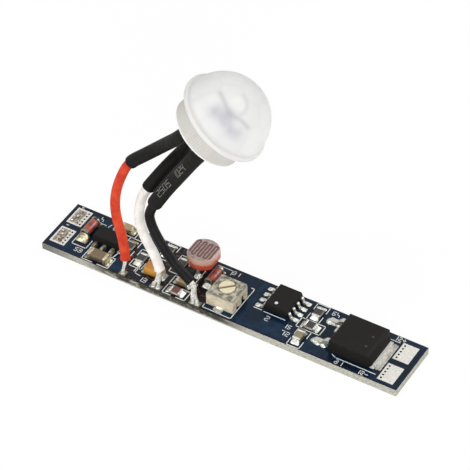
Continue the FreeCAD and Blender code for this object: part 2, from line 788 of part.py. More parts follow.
timer_legs = []
for side in (-1, 1):
    for step in LEG_ROWS:
        timer_legs.append(gull_wing(
            size("timer_x"), size("timer_shift") + step * size("timer_pitch"), side,
            size("timer_width") / 2, size("timer_standoff") + size("timer_height") / 2,
            size("timer_foot"), size("timer_span") / 2, size("timer_lead"), size("timer_metal")))
        COPPER.append((f"timer_x + {side} * (timer_span - timer_foot + pad_overhang) / 2",
                       f"timer_shift + {step} * timer_pitch", "timer_foot + pad_overhang",
                       "timer_lead + 2 * pad_margin"))
shaped("timer_legs", timer_legs)

# Output transistor: thick package with a metal tab, two legs and a cut-off middle leg

package = moulded("transistor_block", "transistor_x", "transistor_shift", "seat", "transistor_length",
                  "transistor_width", "transistor_height", "transistor_bevel")
TAB_LENGTH = "transistor_tab_under + transistor_tab_reach"
TAB_X = "transistor_x + transistor_length / 2 + (transistor_tab_reach - transistor_tab_under) / 2"
tab = block("transistor_tab", TAB_X, "transistor_shift", "seat", TAB_LENGTH,
            "transistor_tab", "transistor_metal")
pocket = block("transistor_tab_pocket", TAB_X, "transistor_shift", "seat", TAB_LENGTH,
               "transistor_tab", "transistor_metal")
MARK_X = "transistor_x + transistor_length / 2 - mark_inset"
MARK_Z = "seat + transistor_height - mark_depth"
marks = [post(f"transistor_mark_{side + 1}", MARK_X, f"transistor_shift + mark_shift + {side} * mark_pitch / 2",
              MARK_Z, "mark_diameter", "mark_depth") for side in (-1, 1)]
finished(cut("transistor", package, join("transistor_room", [pocket, *marks])))
finished(tab)

transistor_legs = []
for side in (-1, 1):
    transistor_legs.append(gull_wing(
        size("transistor_x"), size("transistor_shift") + side * size("transistor_pitch"), -1,
        size("transistor_length") / 2, size("transistor_leg_height"), size("transistor_foot"),
        size("transistor_length") / 2 + size("transistor_reach"), size("transistor_lead"),
        size("transistor_metal")))
    COPPER.append(("transistor_x - transistor_length / 2 - transistor_reach + transistor_foot / 2",
                   f"transistor_shift + {side} * transistor_pitch",
                   "transistor_foot + pad_overhang", "transistor_lead + 2 * pad_margin"))
middle_end = size("transistor_x") - size("transistor_length") / 2
transistor_legs.append(Part.makeBox(
    size("transistor_stub"), size("transistor_lead"), size("transistor_metal"),
    Vector(middle_end - size("transistor_stub"), size("transistor_shift") - size("transistor_lead") / 2,
           size("seat") + size("transistor_leg_height") - size("transistor_metal") / 2)))
shaped("transistor_legs", transistor_legs)
COPPER.append((TAB_X, "transistor_shift", f"{TAB_LENGTH} + 2 * pad_overhang",
               "transistor_tab + 2 * pad_margin"))

# Sensor head, drawn upright at the origin and carried to its place by its frame

HEAD = ("create(<<placement>>; create(<<vector>>; head_x; head_y; head_z);"
        " create(<<rotation>>; create(<<vector>>; -sin(head_turn); cos(head_turn); 0); head_tilt))")


def in_head(thing):
    return bind(thing, Placement=HEAD)


def disc_at(label, diameter, height, z):
    return post(label, "0", "0", z, diameter, height)


dome_ball = new("Part::Sphere", "dome_ball")
move(bind(dome_ball, Radius="dome_radius"), z="dome_centre")
dome_keep = disc_at("dome_keep", "dome_diameter", "dome_height", "0")
dome = new("Part::Common", "dome")
dome.Base = dome_ball
dome.Tool = dome_keep
flange = disc_at("flange", "flange_diameter", "flange_thickness", "-flange_thickness")
skirt = disc_at("skirt", "skirt_bore + 2 * skirt_wall", "skirt_length", "skirt_bottom")
lens_blank = join("lens_blank", [dome, flange, skirt])

hollow_ball = new("Part::Sphere", "hollow_ball")
move(bind(hollow_ball, Radius="dome_radius - dome_wall"), z="dome_centre")
hollow_keep = disc_at("hollow_keep", "dome_diameter", "dome_height", "0")
hollow = new("Part::Common", "hollow")
hollow.Base = hollow_ball
hollow.Tool = hollow_keep

# Each lens cell is flat inside and domed outside: the flats are cut off the hollow
FACET_DISTANCE = "dome_radius - dome_wall - facet_depth"
FACET_RING_COUNT = 3
FACETS_PER_STEP = 6
facets = []
for ring_step in range(FACET_RING_COUNT):
    count = max(1, FACETS_PER_STEP * ring_step)
    for index in range(count):
        facet = bind(new("Part::Cylinder", f"facet_{ring_step}_{index}"),
                     Radius="dome_radius", Height="dome_radius")
        tip = f"{ring_step} * facet_ring_angle"
        turn = f"{index * 360 / count}"
        axis = f"create(<<vector>>; -sin({turn}); cos({turn}); 0)"
        base_point = (f"create(<<vector>>; ({FACET_DISTANCE}) * sin({tip}) * cos({turn});"
                      f" ({FACET_DISTANCE}) * sin({tip}) * sin({turn});"
                      f" dome_centre + ({FACET_DISTANCE}) * cos({tip}))")
        bind(facet, Placement=f"create(<<placement>>; {base_point}; create(<<rotation>>; {axis}; {tip}))")
        facets.append(facet)
lens_hollow = cut("lens_hollow", hollow, join("facet_flats", facets))
skirt_hollow = disc_at("skirt_hollow", "skirt_bore", "skirt_length + flange_thickness", "skirt_bottom")
finished(in_head(cut("lens_cap", lens_blank, join("lens_room", [lens_hollow, skirt_hollow]))))

# Sensor can with its window, header and pins

can_outside = disc_at("can_outside", "can_diameter", "can_height", "header_top")
can_inside = disc_at("can_inside", "can_bore", "can_height - can_wall", "header_top")
opening = block("can_opening", "0", "0", "header_top", "window_length", "window_width", "can_height")
finished(in_head(cut("sensor_can", can_outside, join("can_room", [can_inside, opening]))))
WINDOW_Z = "can_top - can_wall - window_thickness"
window = new("Part::Common", "sensor_window")
window.Base = block("window_plate", "0", "0", WINDOW_Z, "window_length + 2 * window_overlap",
                    "window_width + 2 * window_overlap", "window_thickness")
window.Tool = disc_at("window_keep", "can_bore - 2 * can_play", "window_thickness", WINDOW_Z)
finished(in_head(window))
finished(in_head(group("sensor_element", [
    block("element_block", "0", "0", "header_top", "element_side", "element_side", "element_height")])))

PIN_TURNS = (90, 0, 180)
PIN_SPOTS = [(f"pin_circle / 2 * cos(pin_angle + {turn})", f"pin_circle / 2 * sin(pin_angle + {turn})")
             for turn in PIN_TURNS]
pin_holes = [post(f"pin_hole_{count}", x, y, "header_bottom", "pin_diameter + 2 * pin_play",
                  "header_thickness") for count, (x, y) in enumerate(PIN_SPOTS)]
header_disc = disc_at("header_disc", "can_flange_diameter", "header_thickness", "header_bottom")
finished(in_head(cut("sensor_header", header_disc, join("header_holes", pin_holes))))
PIN_HEIGHT = "pin_length + header_thickness + pin_post"
finished(in_head(group("sensor_pins", [
    post(f"pin_{count}", x, y, "header_bottom - pin_length", "pin_diameter", PIN_HEIGHT)
    for count, (x, y) in enumerate(PIN_SPOTS)])))

# Three leads: sleeve, splice, insulated wire and bare strands on one route each

doc.recompute()
head_frame = doc.getObject("sensor_header").Placement
HEAD_DOWN = head_frame.Rotation.multVec(Vector(0, 0, -1))


def pin_foot(turn):
    """Where a pin leaves the header."""
    angle = math.radians(size("pin_angle") + turn)
    reach = size("pin_circle") / 2
    foot = Vector(reach * math.cos(angle), reach * math.sin(angle), size("header_bottom"))
    return head_frame.multVec(foot)


TOP = size("seat")
FRONT = -size("board_width") / 2
SPOT_Y = FRONT + size("solder_radius") + size("solder_edge")

# Pin, sleeve and where it ends, middle of the strands' solder spots, each strand's place in strand
# pitches, and the points of each route from below the head to the wire's end, chosen by hand
LEADS = [
    ("red", 90, "sleeve_diameter", "red_sleeve_end", "resistor_2_x + red_spot_shift", (0.0,), [
        (-10.57, -0.75, 26.85), (-13.49, -1.1, 24.01), (-16.43, -1.6, 21.32), (-17.23, -2.4, 19.14),
        (-17.84, -3.1, 16.43), (-17.81, -3.7, 13.71), (-17.11, -4.1, 10.94), (-16.11, -4.3, 8.11),
        (-15.87, -4.3, 4.53)]),
    ("white", 0, "sleeve_diameter", "white_sleeve_end", "tantalum_x + white_spot_shift", (-0.5, 0.5), [
        (-8.49, 1.6, 25.3), (-10.25, 0.5, 22.82), (-11.98, -0.7, 20.03), (-13.74, -2.1, 16.89),
        (-13.92, -2.9, 15.1), (-13.71, -3.6, 13.36), (-12.94, -4.1, 11.51), (-11.55, -4.5, 9.66),
        (-10.24, -4.6, 7.72), (-9.69, -4.6, 5.53)]),
    ("black", 180, "wide_sleeve_diameter", "black_sleeve_end", "diode_out_x + black_spot_shift", (-0.5, 0.5), [
        (-7.02, -2.5, 24.06), (-9.35, -3.0, 20.3), (-11.9, -3.6, 15.38), (-11.46, -3.95, 13.7),
        (-10.42, -4.25, 12.03), (-8.69, -4.5, 9.82), (-6.85, -4.5, 7.35), (-4.39, -4.4, 5.4)]),
]
STRAIGHT_START = 3.0


def part_of(edges, start, stop):
    """The piece of a route between two distances along it."""
    kept = []
    done = 0.0
    for edge in edges:
        first, last = max(start - done, 0.0), min(stop - done, edge.Length)
        if last - first > 1e-6:
            low = edge.getParameterByLength(first)
            high = edge.getParameterByLength(last)
            kept.append(edge.Curve.toShape(low, high))
        done += edge.Length
    return kept


bare_ends, cones = [], []
for colour, turn, sleeve_size, sleeve_end, spot_x, steps, listed in LEADS:
    foot = pin_foot(turn)
    points = [foot, foot + HEAD_DOWN * STRAIGHT_START] + [Vector(*point) for point in listed]
    edges = route(points)
    whole = sum(edge.Length for edge in edges)
    splice_start = size("pin_length")
    wire_start = splice_start + size("splice_length")
    sleeve_path = part_of(edges, size("sleeve_start"), size(sleeve_end))
    outside = round_bar(sleeve_path, size(sleeve_size))
    inside = round_bar(sleeve_path, size("wire_diameter") + 2 * size("sleeve_play"))
    shaped(f"sleeve_{colour}", [outside.cut(inside)])
    shaped(f"wire_{colour}", [round_bar(part_of(edges, wire_start, whole), size("wire_diameter"))])
    bare_ends.append(round_bar(part_of(edges, splice_start, wire_start), size("splice_diameter")))
    end = points[-1]
    ahead = (points[-1] - points[-2]).normalize()
    sideways = ahead.cross(Vector(0, 1, 0)).normalize()
    for step in steps:
        spot = Vector(number(spot_x) + step * size("strand_pitch"), SPOT_Y, TOP)
        first = end + sideways * (step * size("strand_spacing"))
        above = spot + Vector(0, 0, size("solder_height"))
        drop = Vector(0, 0, size("strand_drop"))
        strand = [first, first + ahead * size("strand_start"), above + drop, above]
        bare_ends.append(round_bar(route(strand), size("strand_diameter")))
        cones.append(Part.makeCone(size("cone_base") / 2, size("cone_top") / 2, size("solder_height"), spot))
    COPPER.append((spot_x, str(SPOT_Y), f"{steps[-1] - steps[0]} * strand_pitch + 2 * solder_radius",
                   "2 * solder_radius"))
    print(colour, "lead", round(whole, 1), "mm")
shaped("lead_strands", bare_ends)

# Solder: a concave fillet at each terminal, collars on the photocell's leads, and cones under the wires


FILLET_SAG = 0.42


def fillet(centre, along, reach, width, height):
    """A concave wedge of solder that leans on a terminal's outer face."""
    foot = centre + along * reach
    across = along.cross(Vector(0, 0, 1)) * (width / 2)
    toe = foot + along * size("pad_overhang")
    crest = foot + Vector(0, 0, height)
    sag = foot + along * (size("pad_overhang") * FILLET_SAG) + Vector(0, 0, height * FILLET_SAG)
    lines = [Part.LineSegment(foot, toe).toShape(), Part.Arc(toe, sag, crest).toShape(),
             Part.LineSegment(crest, foot).toShape()]
    face = Part.Face(Part.Wire(lines))
    face.translate(across * -1)
    return face.extrude(across * 2)


solder = []
for x, y, turned, side, reach, width, height in FILLETS:
    centre = Vector(number(x), number(y), TOP)
    along = Vector(0, side, 0) if turned else Vector(side, 0, 0)
    solder.append(fillet(centre, along, number(reach), number(width),
                         number(height) * size("fillet_height_share")))
for x, y in PHOTOCELL_LEADS:
    spot = Vector(number(x), number(y), size("board_thickness"))
    collar = Part.makeCone(size("solder_radius"), size("lead_diameter") / 2 + size("pad_overhang") / 2,
                           size("solder_height"), spot)
    hole = Part.makeCylinder(size("lead_diameter") / 2, size("solder_height"), spot)
    solder.append(collar.cut(hole))
shaped("solder_joints", solder + cones)

# Copper pads under the terminals

finished(group("component_pads", [block(f"pad_{count}", x, y, "board_thickness", dx, dy, "copper_thickness")
                                  for count, (x, y, dx, dy) in enumerate(COPPER)]))

# Winding track on the photocell's face

half_leg = size("track_straight") / 2
LEG_COUNT = 8
first_leg = size("photocell_x") - (LEG_COUNT - 1) / 2 * size("track_pitch")
track_z = number(FACE) + size("track_depth") / 2
track = []
for leg in range(LEG_COUNT):
    x = first_leg + leg * size("track_pitch")
    heading = 1 if leg % 2 == 0 else -1
    low = Vector(x, size("photocell_y") - heading * half_leg, track_z)
    high = Vector(x, size("photocell_y") + heading * half_leg, track_z)
    track.append(Part.LineSegment(low, high).toShape())
    if leg < LEG_COUNT - 1:
        radius = size("track_pitch") / 2
        crown = Vector(x + radius, high.y + heading * radius, track_z)
        track.append(Part.Arc(high, crown, Vector(x + 2 * radius, high.y, track_z)).toShape())
start, ahead = square_to(track[0])
up = Vector(0, 0, size("track_depth") / 2)
side = Vector(size("track_width") / 2, 0, 0)
corners = [start - side - up, start + side - up, start + side + up, start - side + up]
section = Part.makePolygon(corners + corners[:1])
shaped("photocell_track", [Part.Wire(track).makePipeShell([section], True, False)])

# Checks, then one file for each sub-part

doc.recompute()
for thing in doc.Objects:
    if "Invalid" in thing.State or "Error" in thing.State:
        raise RuntimeError(f"{thing.Label} failed: {thing.State}")
os.makedirs("parts", exist_ok=True)
for thing in PARTS:
    shape = thing.Shape
    if shape.isNull() or not shape.isValid() or not shape.Solids:
        raise RuntimeError(f"{thing.Label} has no sound shape")
for thing in PARTS:
    thing.Shape.exportStep(f"parts/{thing.Label}.step")
print(len(PARTS), "sub-parts written")
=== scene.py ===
# %% [markdown]
# # Motion sensor switch
# A narrow blue circuit board carries a light sensor, a trimmer, a timer chip and a power
# transistor. A milky lens with the motion sensor inside it stands above the board on three
# sleeved wires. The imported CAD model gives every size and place, and this file dresses it: each
# cell makes one kind of piece or one finish, and says why it is made that way.

# %% Load the frame
import math
from functools import partialmethod

import bmesh
import bpy
import numpy as np
from mathutils import Matrix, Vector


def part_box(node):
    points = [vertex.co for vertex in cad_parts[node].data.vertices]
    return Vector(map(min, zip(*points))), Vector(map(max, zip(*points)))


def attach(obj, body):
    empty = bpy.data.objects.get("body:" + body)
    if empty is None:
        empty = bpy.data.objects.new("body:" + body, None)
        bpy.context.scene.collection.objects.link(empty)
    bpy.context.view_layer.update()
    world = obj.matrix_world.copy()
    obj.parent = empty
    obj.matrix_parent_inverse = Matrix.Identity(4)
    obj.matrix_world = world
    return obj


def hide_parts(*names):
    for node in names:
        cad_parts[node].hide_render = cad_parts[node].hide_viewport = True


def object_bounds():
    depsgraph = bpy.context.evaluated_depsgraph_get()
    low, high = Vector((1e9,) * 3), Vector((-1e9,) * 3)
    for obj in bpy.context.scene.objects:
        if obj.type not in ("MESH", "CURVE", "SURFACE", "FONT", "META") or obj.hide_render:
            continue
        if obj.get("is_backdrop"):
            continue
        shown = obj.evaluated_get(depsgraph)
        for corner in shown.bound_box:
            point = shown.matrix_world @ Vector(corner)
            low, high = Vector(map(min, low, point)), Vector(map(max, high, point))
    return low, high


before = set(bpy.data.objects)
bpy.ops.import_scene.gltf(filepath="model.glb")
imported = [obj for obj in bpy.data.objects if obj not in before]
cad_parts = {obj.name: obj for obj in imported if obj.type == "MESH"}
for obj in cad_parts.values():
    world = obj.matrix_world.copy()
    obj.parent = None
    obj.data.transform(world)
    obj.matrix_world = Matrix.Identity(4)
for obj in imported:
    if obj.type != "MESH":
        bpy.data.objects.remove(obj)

MM = 0.001
cad_box = [list(corner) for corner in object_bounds()]
print("CAD box in mm:", [[round(value / MM, 2) for value in corner] for corner in cad_box])

# %% [markdown]
# ## Shader arithmetic
# A finish is a tree of nodes. It could be wired by hand, one node at a time, but a tree is easier
# to read as a formula. Signal wraps one output socket, so that `1 - mask` or `height * 0.5` adds
# the Math node that works it out. Shading adds any other node through one method. Finish is the
# tree of a material, and it blends colours with Mix, because a Math node turns a colour grey.


# %% Signal, Shading and Finish
class Signal:
    """One output socket. Arithmetic on it adds the Math node that works it out."""

    def __init__(self, shading, socket):
        self.shading = shading
        self.socket = socket

    def math(self, operation, *others):
        """The Math node that takes this number first and the others after it."""
        return self.shading.node("ShaderNodeMath", dict(enumerate([self, *others])), operation=operation)

    def between(self, low, high):
        """0 below low, 1 above high, and a smooth step between them."""
        return self.shading.node("ShaderNodeMapRange", {0: self, 1: low, 2: high},
                                 interpolation_type="SMOOTHSTEP")

    def within(self, rise, fall):
        """1 in a band: a smooth step up over rise and down over fall, each (low, high)."""
        return self.between(*rise) * (1 - self.between(*fall))

    def __rsub__(self, other):
        return self.math("MULTIPLY_ADD", -1, other)


OPERATIONS = {
    "__add__": "ADD", "__radd__": "ADD", "__mul__": "MULTIPLY", "__rmul__": "MULTIPLY",
    "__sub__": "SUBTRACT", "__gt__": "GREATER_THAN", "__lt__": "LESS_THAN", "__abs__": "ABSOLUTE",
    "most": "MAXIMUM", "angle_to": "ARCTAN2", "sine": "SINE", "root": "SQRT",
}
for method, operation in OPERATIONS.items():
    setattr(Signal, method, partialmethod(Signal.math, operation))


def linear(red, green, blue):
    """A colour written as 0 to 255 on a screen, as the linear value that a shader takes."""
    values = np.array([red, green, blue]) / 255
    low, high = values / 12.92, ((values + 0.055) / 1.055) ** 2.4
    return (*np.where(values <= 0.04045, low, high), 1.0)


class Shading:
    """The node tree of a material or of the world."""

    def __init__(self, holder, output_kind):
        holder.use_nodes = True
        self.tree = holder.node_tree
        self.tree.nodes.clear()
        self.surface = self.tree.nodes.new(output_kind).inputs["Surface"]

    def feed(self, socket, value):
        if isinstance(value, Signal):
            self.tree.links.new(value.socket, socket)
        else:
            socket.default_value = value

    def node(self, kind, inputs=None, output=0, stops=(), **settings):
        """Any node: its settings and its ramp's stops first, then its sockets' values or links."""
        made = self.tree.nodes.new(kind)
        for name, value in settings.items():
            setattr(made, name, value)
        for number, (place, colour) in enumerate(stops):
            made.color_ramp.elements[number].position = place
            made.color_ramp.elements[number].color = colour
        for key, value in (inputs or {}).items():
            self.feed(made.inputs[key], value)
        return Signal(self, made.outputs[output])

    def background_rays(self):
        """1 for rays from the camera, off shiny metal and through glass, which all see plain white."""
        path = self.node("ShaderNodeLightPath").socket.node.outputs
        seen = [Signal(self, path[f"Is {kind} Ray"]) for kind in ("Camera", "Glossy", "Transmission")]
        return seen[0].most(seen[1]).most(seen[2])

    def show(self, share, first, second):
        """Ends the tree in two shaders, share of the way from first to second."""
        self.feed(self.surface, self.node("ShaderNodeMixShader", {0: share, 1: first, 2: second}))


class Finish(Shading):
    """A material with one Principled shader."""

    def __init__(self, name, **constants):
        self.material = bpy.data.materials.new(name)
        super().__init__(self.material, "ShaderNodeOutputMaterial")
        self.shader = self.node("ShaderNodeBsdfPrincipled")
        self.feed(self.surface, self.shader)
        self.put(**constants)

    def put(self, **values):
        """Sets or links the shader's sockets; an underscore stands for a space in a name."""
        for name, value in values.items():
            self.feed(self.shader.socket.node.inputs[name.replace("_", " ")], value)
        return self

    def place(self):
        """Object coordinates in millimetres."""
        coordinates = self.node("ShaderNodeTexCoord", output="Object")
        return self.node("ShaderNodeVectorMath", {0: coordinates, 3: 1 / MM}, operation="SCALE")

    def axes(self, place=None):
        """The three coordinates of a place, each as a number: the object's own in millimetres."""
        split = self.node("ShaderNodeSeparateXYZ", {0: place or self.place()})
        return [Signal(self, socket) for socket in split.socket.node.outputs]

    def stretched(self, x, y, z):
        """Object coordinates in millimetres, times a number along each axis."""
        return self.node("ShaderNodeVectorMath", {0: self.place(), 1: (x, y, z)}, operation="MULTIPLY")

    def noise(self, per_mm, detail=2.0, roughness=0.5, at=None):
        """Smooth noise from about 0.3 to 0.7, with per_mm lumps in each millimetre."""
        return self.node("ShaderNodeTexNoise", {
            "Vector": at or self.place(), "Scale": per_mm, "Detail": detail, "Roughness": roughness})

    def mix(self, share, first, second):
        """share of the way from first to second, each a signal or three numbers of 0 to 255."""
        ends = [end if isinstance(end, Signal) else linear(*end) for end in (first, second)]
        return self.node("ShaderNodeMix", {0: share, 6: ends[0], 7: ends[1]}, output=2, data_type="RGBA")

    def layered(self, colour, *layers):
        """A colour with layers over it, each (share, colour), the last on top."""
        for share, over in layers:
            colour = self.mix(share, colour, over)
        return colour

    def bump(self, height, depth_mm):
        """Tilts the surface as a height from 0 to 1 would, depth_mm deep."""
        return self.put(Normal=self.node("ShaderNodeBump", {
            "Strength": 1.0, "Distance": depth_mm * MM, "Height": height}))


print("Shader arithmetic is ready")

# %% [markdown]
# ## From surfaces to meshes
# Every new piece is a surface worked out with numpy: an array of points on a grid, with the
# grid's own quads. The same could be built by hand or with modifiers, but a formula keeps each
# size in one place. A grid that closes on itself keeps double points at its seam and its poles,
# and those are merged when the mesh is made, so each piece is one closed skin that faces out.

# %% Grids


def grid_faces(rows, columns, wrap_rows=False, wrap_columns=False):
    """Quads between the points of a grid that is stored row by row."""
    i = np.arange(rows if wrap_rows else rows - 1)[:, None]
    j = np.arange(columns if wrap_columns else columns - 1)[None, :]
    after_i, after_j = (i + 1) % rows, (j + 1) % columns
    corners = [i * columns + j, i * columns + after_j, after_i * columns + after_j, after_i * columns + j]
    return np.stack([np.broadcast_to(corner, (len(i), j.shape[1])).ravel() for corner in corners], axis=1)


def rings(points, closed=False):
    """A stack of closed rings, (rows, columns, 3), as a surface whose two ends are capped flat."""
    rows, columns = points.shape[:2]
    faces = [grid_faces(rows, columns, closed, True)]
    if not closed:
        faces += [np.arange(columns)[None, ::-1], (rows - 1) * columns + np.arange(columns)[None, :]]
    return points.reshape(-1, 3), faces


def shell(top, bottom):
    """Two grids of one size that share their borders, as one closed skin; top faces up."""
    rows, columns = top.shape[:2]
    upper = grid_faces(rows, columns)
    lower = upper[:, ::-1] + rows * columns
    border = np.concatenate([
        np.arange(columns), np.arange(1, rows) * columns + columns - 1,
        (rows - 1) * columns + np.arange(columns - 2, -1, -1), np.arange(rows - 2, 0, -1) * columns])
    after = np.roll(border, -1)
    side = np.stack([border, border + rows * columns, after + rows * columns, after], axis=1)
    points = np.concatenate([top.reshape(-1, 3), bottom.reshape(-1, 3)])
    return points, [upper, lower, side]


print("Grid helpers are ready")

# %% [markdown]
# A surface in millimetres becomes a mesh in metres through foreach_set, which takes whole arrays
# and is far quicker than one point at a time. A finished piece says which body it rides on and
# which CAD nodes it stands for.

# %% Meshes and pieces
MERGE_MM = 1e-4
SHARP = math.radians(35)


def to_mesh(name, surfaces):
    """One mesh in metres from surfaces in millimetres, with doubles merged and faces outwards."""
    points, corners, lengths, start = [], [], [], 0
    for vertices, faces in surfaces:
        for group in faces:
            corners.append(group.ravel() + start)
            lengths.append(np.full(len(group), group.shape[1]))
        points.append(vertices)
        start += len(vertices)
    points, corners, lengths = np.concatenate(points), np.concatenate(corners), np.concatenate(lengths)
    mesh = bpy.data.meshes.new(name)
    mesh.vertices.add(len(points))
    mesh.vertices.foreach_set("co", (points * MM).astype(np.float32).ravel())
    mesh.loops.add(len(corners))
    mesh.loops.foreach_set("vertex_index", corners.astype(np.int32))
    mesh.polygons.add(len(lengths))
    mesh.polygons.foreach_set("loop_start", np.concatenate([[0], np.cumsum(lengths)[:-1]]).astype(np.int32))
    mesh.update(calc_edges=True)
    mesh.validate()
    work = bmesh.new()
    work.from_mesh(mesh)
    bmesh.ops.remove_doubles(work, verts=work.verts, dist=MERGE_MM * MM)
    bmesh.ops.dissolve_degenerate(work, edges=work.edges, dist=MERGE_MM * MM)
    bmesh.ops.recalc_face_normals(work, faces=work.faces)
    work.to_mesh(mesh)
    work.free()
    return mesh


def points_of(mesh):
    """A mesh's points, (count, 3), in millimetres."""
    points = np.empty(len(mesh.vertices) * 3)
    mesh.vertices.foreach_get("co", points)
    return points.reshape(-1, 3) / MM


def placed(name, data):
    """A new object of the scene, at the origin."""
    made = bpy.data.objects.new(name, data)
    bpy.context.scene.collection.objects.link(made)
    return made


def piece(name, surfaces, finish, instead_of=None, body="module"):
    """A finished piece: its mesh, its finish, the body it rides on and the node it stands for."""
    mesh = to_mesh(name, surfaces) if isinstance(surfaces, list) else surfaces
    mesh.polygons.foreach_set("use_smooth", np.ones(len(mesh.polygons), bool))
    mesh.set_sharp_from_angle(angle=SHARP)
    mesh.materials.append(finish.material)
    made = placed(name, mesh)
    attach(made, body)
    if instead_of:
        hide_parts(instead_of)
    print(f"{name}: {len(mesh.polygons)} faces")
    return made


def dress(finish, *nodes):
    """Gives CAD nodes whose shape is right their finish."""
    for node in nodes:
        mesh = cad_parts[node].data
        mesh.materials.clear()
        mesh.materials.append(finish.material)


def span(node):
    """Lowest and highest corner of a CAD node in millimetres."""
    low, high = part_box(node)
    return np.array(low) / MM, np.array(high) / MM


print("Mesh helpers are ready")

# %% [markdown]
# ## The camera
# The photograph is a long-lens view from the front right and above. A camera could be moved about
# by eye, but this one was fitted to the photograph with the sizes of the standard parts. Its
# place, its three axes and its lens stand here as numbers. It has no shift, and all stays sharp.

# %% Camera
CAMERA_PLACE = (164.555, -271.859, 314.557)
CAMERA_RIGHT = (0.85917, 0.51165, -0.00580)
CAMERA_UP = (-0.34838, 0.59322, 0.72575)
CAMERA_BACK = (0.37477, -0.62153, 0.68793)
FOCAL_PIXELS, IMAGE_PIXELS, SENSOR_MM = 3000, 470, 36
CLIP_METRES = (0.01, 10)


def turned_to(right, up, back, place_mm):
    """The matrix whose columns are an object's three axes and its place."""
    columns = np.stack([right, up, back, np.array(place_mm) * MM], axis=1)
    return Matrix([*columns.tolist(), [0, 0, 0, 1]])


lens = bpy.data.cameras.new("camera")
lens.sensor_width = SENSOR_MM
lens.lens = FOCAL_PIXELS / IMAGE_PIXELS * SENSOR_MM
lens.clip_start, lens.clip_end = CLIP_METRES
camera = placed("camera", lens)
camera.matrix_world = turned_to(CAMERA_RIGHT, CAMERA_UP, CAMERA_BACK, CAMERA_PLACE)
bpy.context.scene.camera = camera
print("Lens of", round(lens.lens, 1), "mm")

# %% [markdown]
# ## Light and floor
# The object was photographed on white, in soft light from all round. One strong lamp would draw
# hard shadows that the photograph doesn't have. So a pale world lights it evenly, two large lamps
# in front shape it, a third behind it lifts the far side of the dome, and the floor keeps a faint
# shadow. The background is white by colour and not by light, for the camera and for shiny metal.

# %% World and lamps
SKY_LEVEL, SKY_PALE_FROM, HORIZON, WHITE = 0.56, 0.85, (0.14, 0.145, 0.155, 1), (1, 1, 1, 1)
LAMPS = [
    ("key_lamp", (-170, -150, 330), (0, 0, 10), 180, 0.62),
    ("front_lamp", (220, -330, 190), (0, 0, 5), 200, 0.95),
    ("back_lamp", (250, 290, 190), (0, 0, 25), 150, 0.62),
]
bpy.context.scene.view_settings.view_transform = "Standard"
world = bpy.data.worlds.new("studio")
bpy.context.scene.world = world
sky = Shading(world, "ShaderNodeOutputWorld")
upward = sky.node("ShaderNodeSeparateXYZ", {0: sky.node("ShaderNodeTexCoord", output="Generated")}, "Z")
fade = sky.node("ShaderNodeValToRGB", {0: upward}, stops=[(0.0, HORIZON), (SKY_PALE_FROM, WHITE)])
soft = sky.node("ShaderNodeBackground", {"Color": fade, "Strength": SKY_LEVEL})
sky.show(sky.background_rays(), soft, sky.node("ShaderNodeBackground", {"Color": WHITE}))


def lamp(name, place_mm, target_mm, side_mm, watts):
    """A square soft lamp that looks at a point."""
    light = bpy.data.lights.new(name, "AREA")
    light.size = side_mm * MM
    light.energy = watts
    back = np.subtract(place_mm, target_mm) / np.linalg.norm(np.subtract(place_mm, target_mm))
    right = np.cross((0, 0, 1), back)
    right /= np.linalg.norm(right)
    placed(name, light).matrix_world = turned_to(right, np.cross(back, right), back, place_mm)


for row in LAMPS:
    lamp(*row)
print(len(LAMPS), "lamps")

# %% Floor
FLOOR_SIDE, FLOOR_DROP, FLOOR_WHITE = 900, 0.02, 0.92
floor_finish = Finish("floor_white", Base_Color=linear(250, 250, 250), Roughness=0.9)
glow = floor_finish.node("ShaderNodeEmission", {"Color": WHITE})
floor_finish.show(floor_finish.background_rays() * FLOOR_WHITE, floor_finish.shader, glow)
floor_corners = np.array([(-1, -1, 0), (1, -1, 0), (1, 1, 0), (-1, 1, 0)]) * FLOOR_SIDE - (0, 0, FLOOR_DROP)
floor_mesh = bpy.data.meshes.new("floor")
floor_mesh.from_pydata((floor_corners * MM).tolist(), [], [(0, 1, 2, 3)])
floor_mesh.materials.append(floor_finish.material)
floor = placed("floor", floor_mesh)
floor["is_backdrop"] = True
print("Floor is", 2 * FLOOR_SIDE, "mm wide")

# %% [markdown]
# ## Lines and tubes
# Wires, sleeves and strands are all one section carried along a line. A Blender curve with a
# bevel would do for a plain wire, but not for a sleeve with two walls. So the curve only gives
# the line: a smooth NURBS with the route's few points as its controls, as a wire bends. The
# section stands square to the line, turned from one fixed direction that the line never takes.

# %% Sections along a smooth line


def smooth_line(points, steps=10):
    """Points in millimetres along the NURBS curve of order 3 that has points as its controls."""
    curve = bpy.data.curves.new("line", "CURVE")
    curve.dimensions = "3D"
    curve.resolution_u = steps
    spline = curve.splines.new("NURBS")
    spline.points.add(len(points) - 1)
    spline.points.foreach_set("co", np.c_[points, np.ones(len(points))].ravel())
    spline.order_u = 3
    spline.use_endpoint_u = True
    holder = bpy.data.objects.new("line", curve)
    mesh = bpy.data.meshes.new_from_object(holder)
    line = np.empty(len(mesh.vertices) * 3)
    mesh.vertices.foreach_get("co", line)
    bpy.data.meshes.remove(mesh)
    bpy.data.objects.remove(holder)
    bpy.data.curves.remove(curve)
    return line.reshape(-1, 3)


def along(line):
    """Distance of each point of a line from its start."""
    return np.concatenate([[0], np.cumsum(np.linalg.norm(np.diff(line, axis=0), axis=1))])


def sampled(line, rows, wanted):
    """Rows that belong to the points of a line, at the wanted distances along it."""
    return np.stack([np.interp(wanted, along(line), column) for column in rows.T], axis=1)


def stretch_of(line, start, stop, count):
    """Evenly spaced points of a line between two distances along it."""
    return sampled(line, line, np.linspace(start, stop, count))


def unit(vectors):
    """Each vector at length 1."""
    return vectors / np.linalg.norm(vectors, axis=-1, keepdims=True)


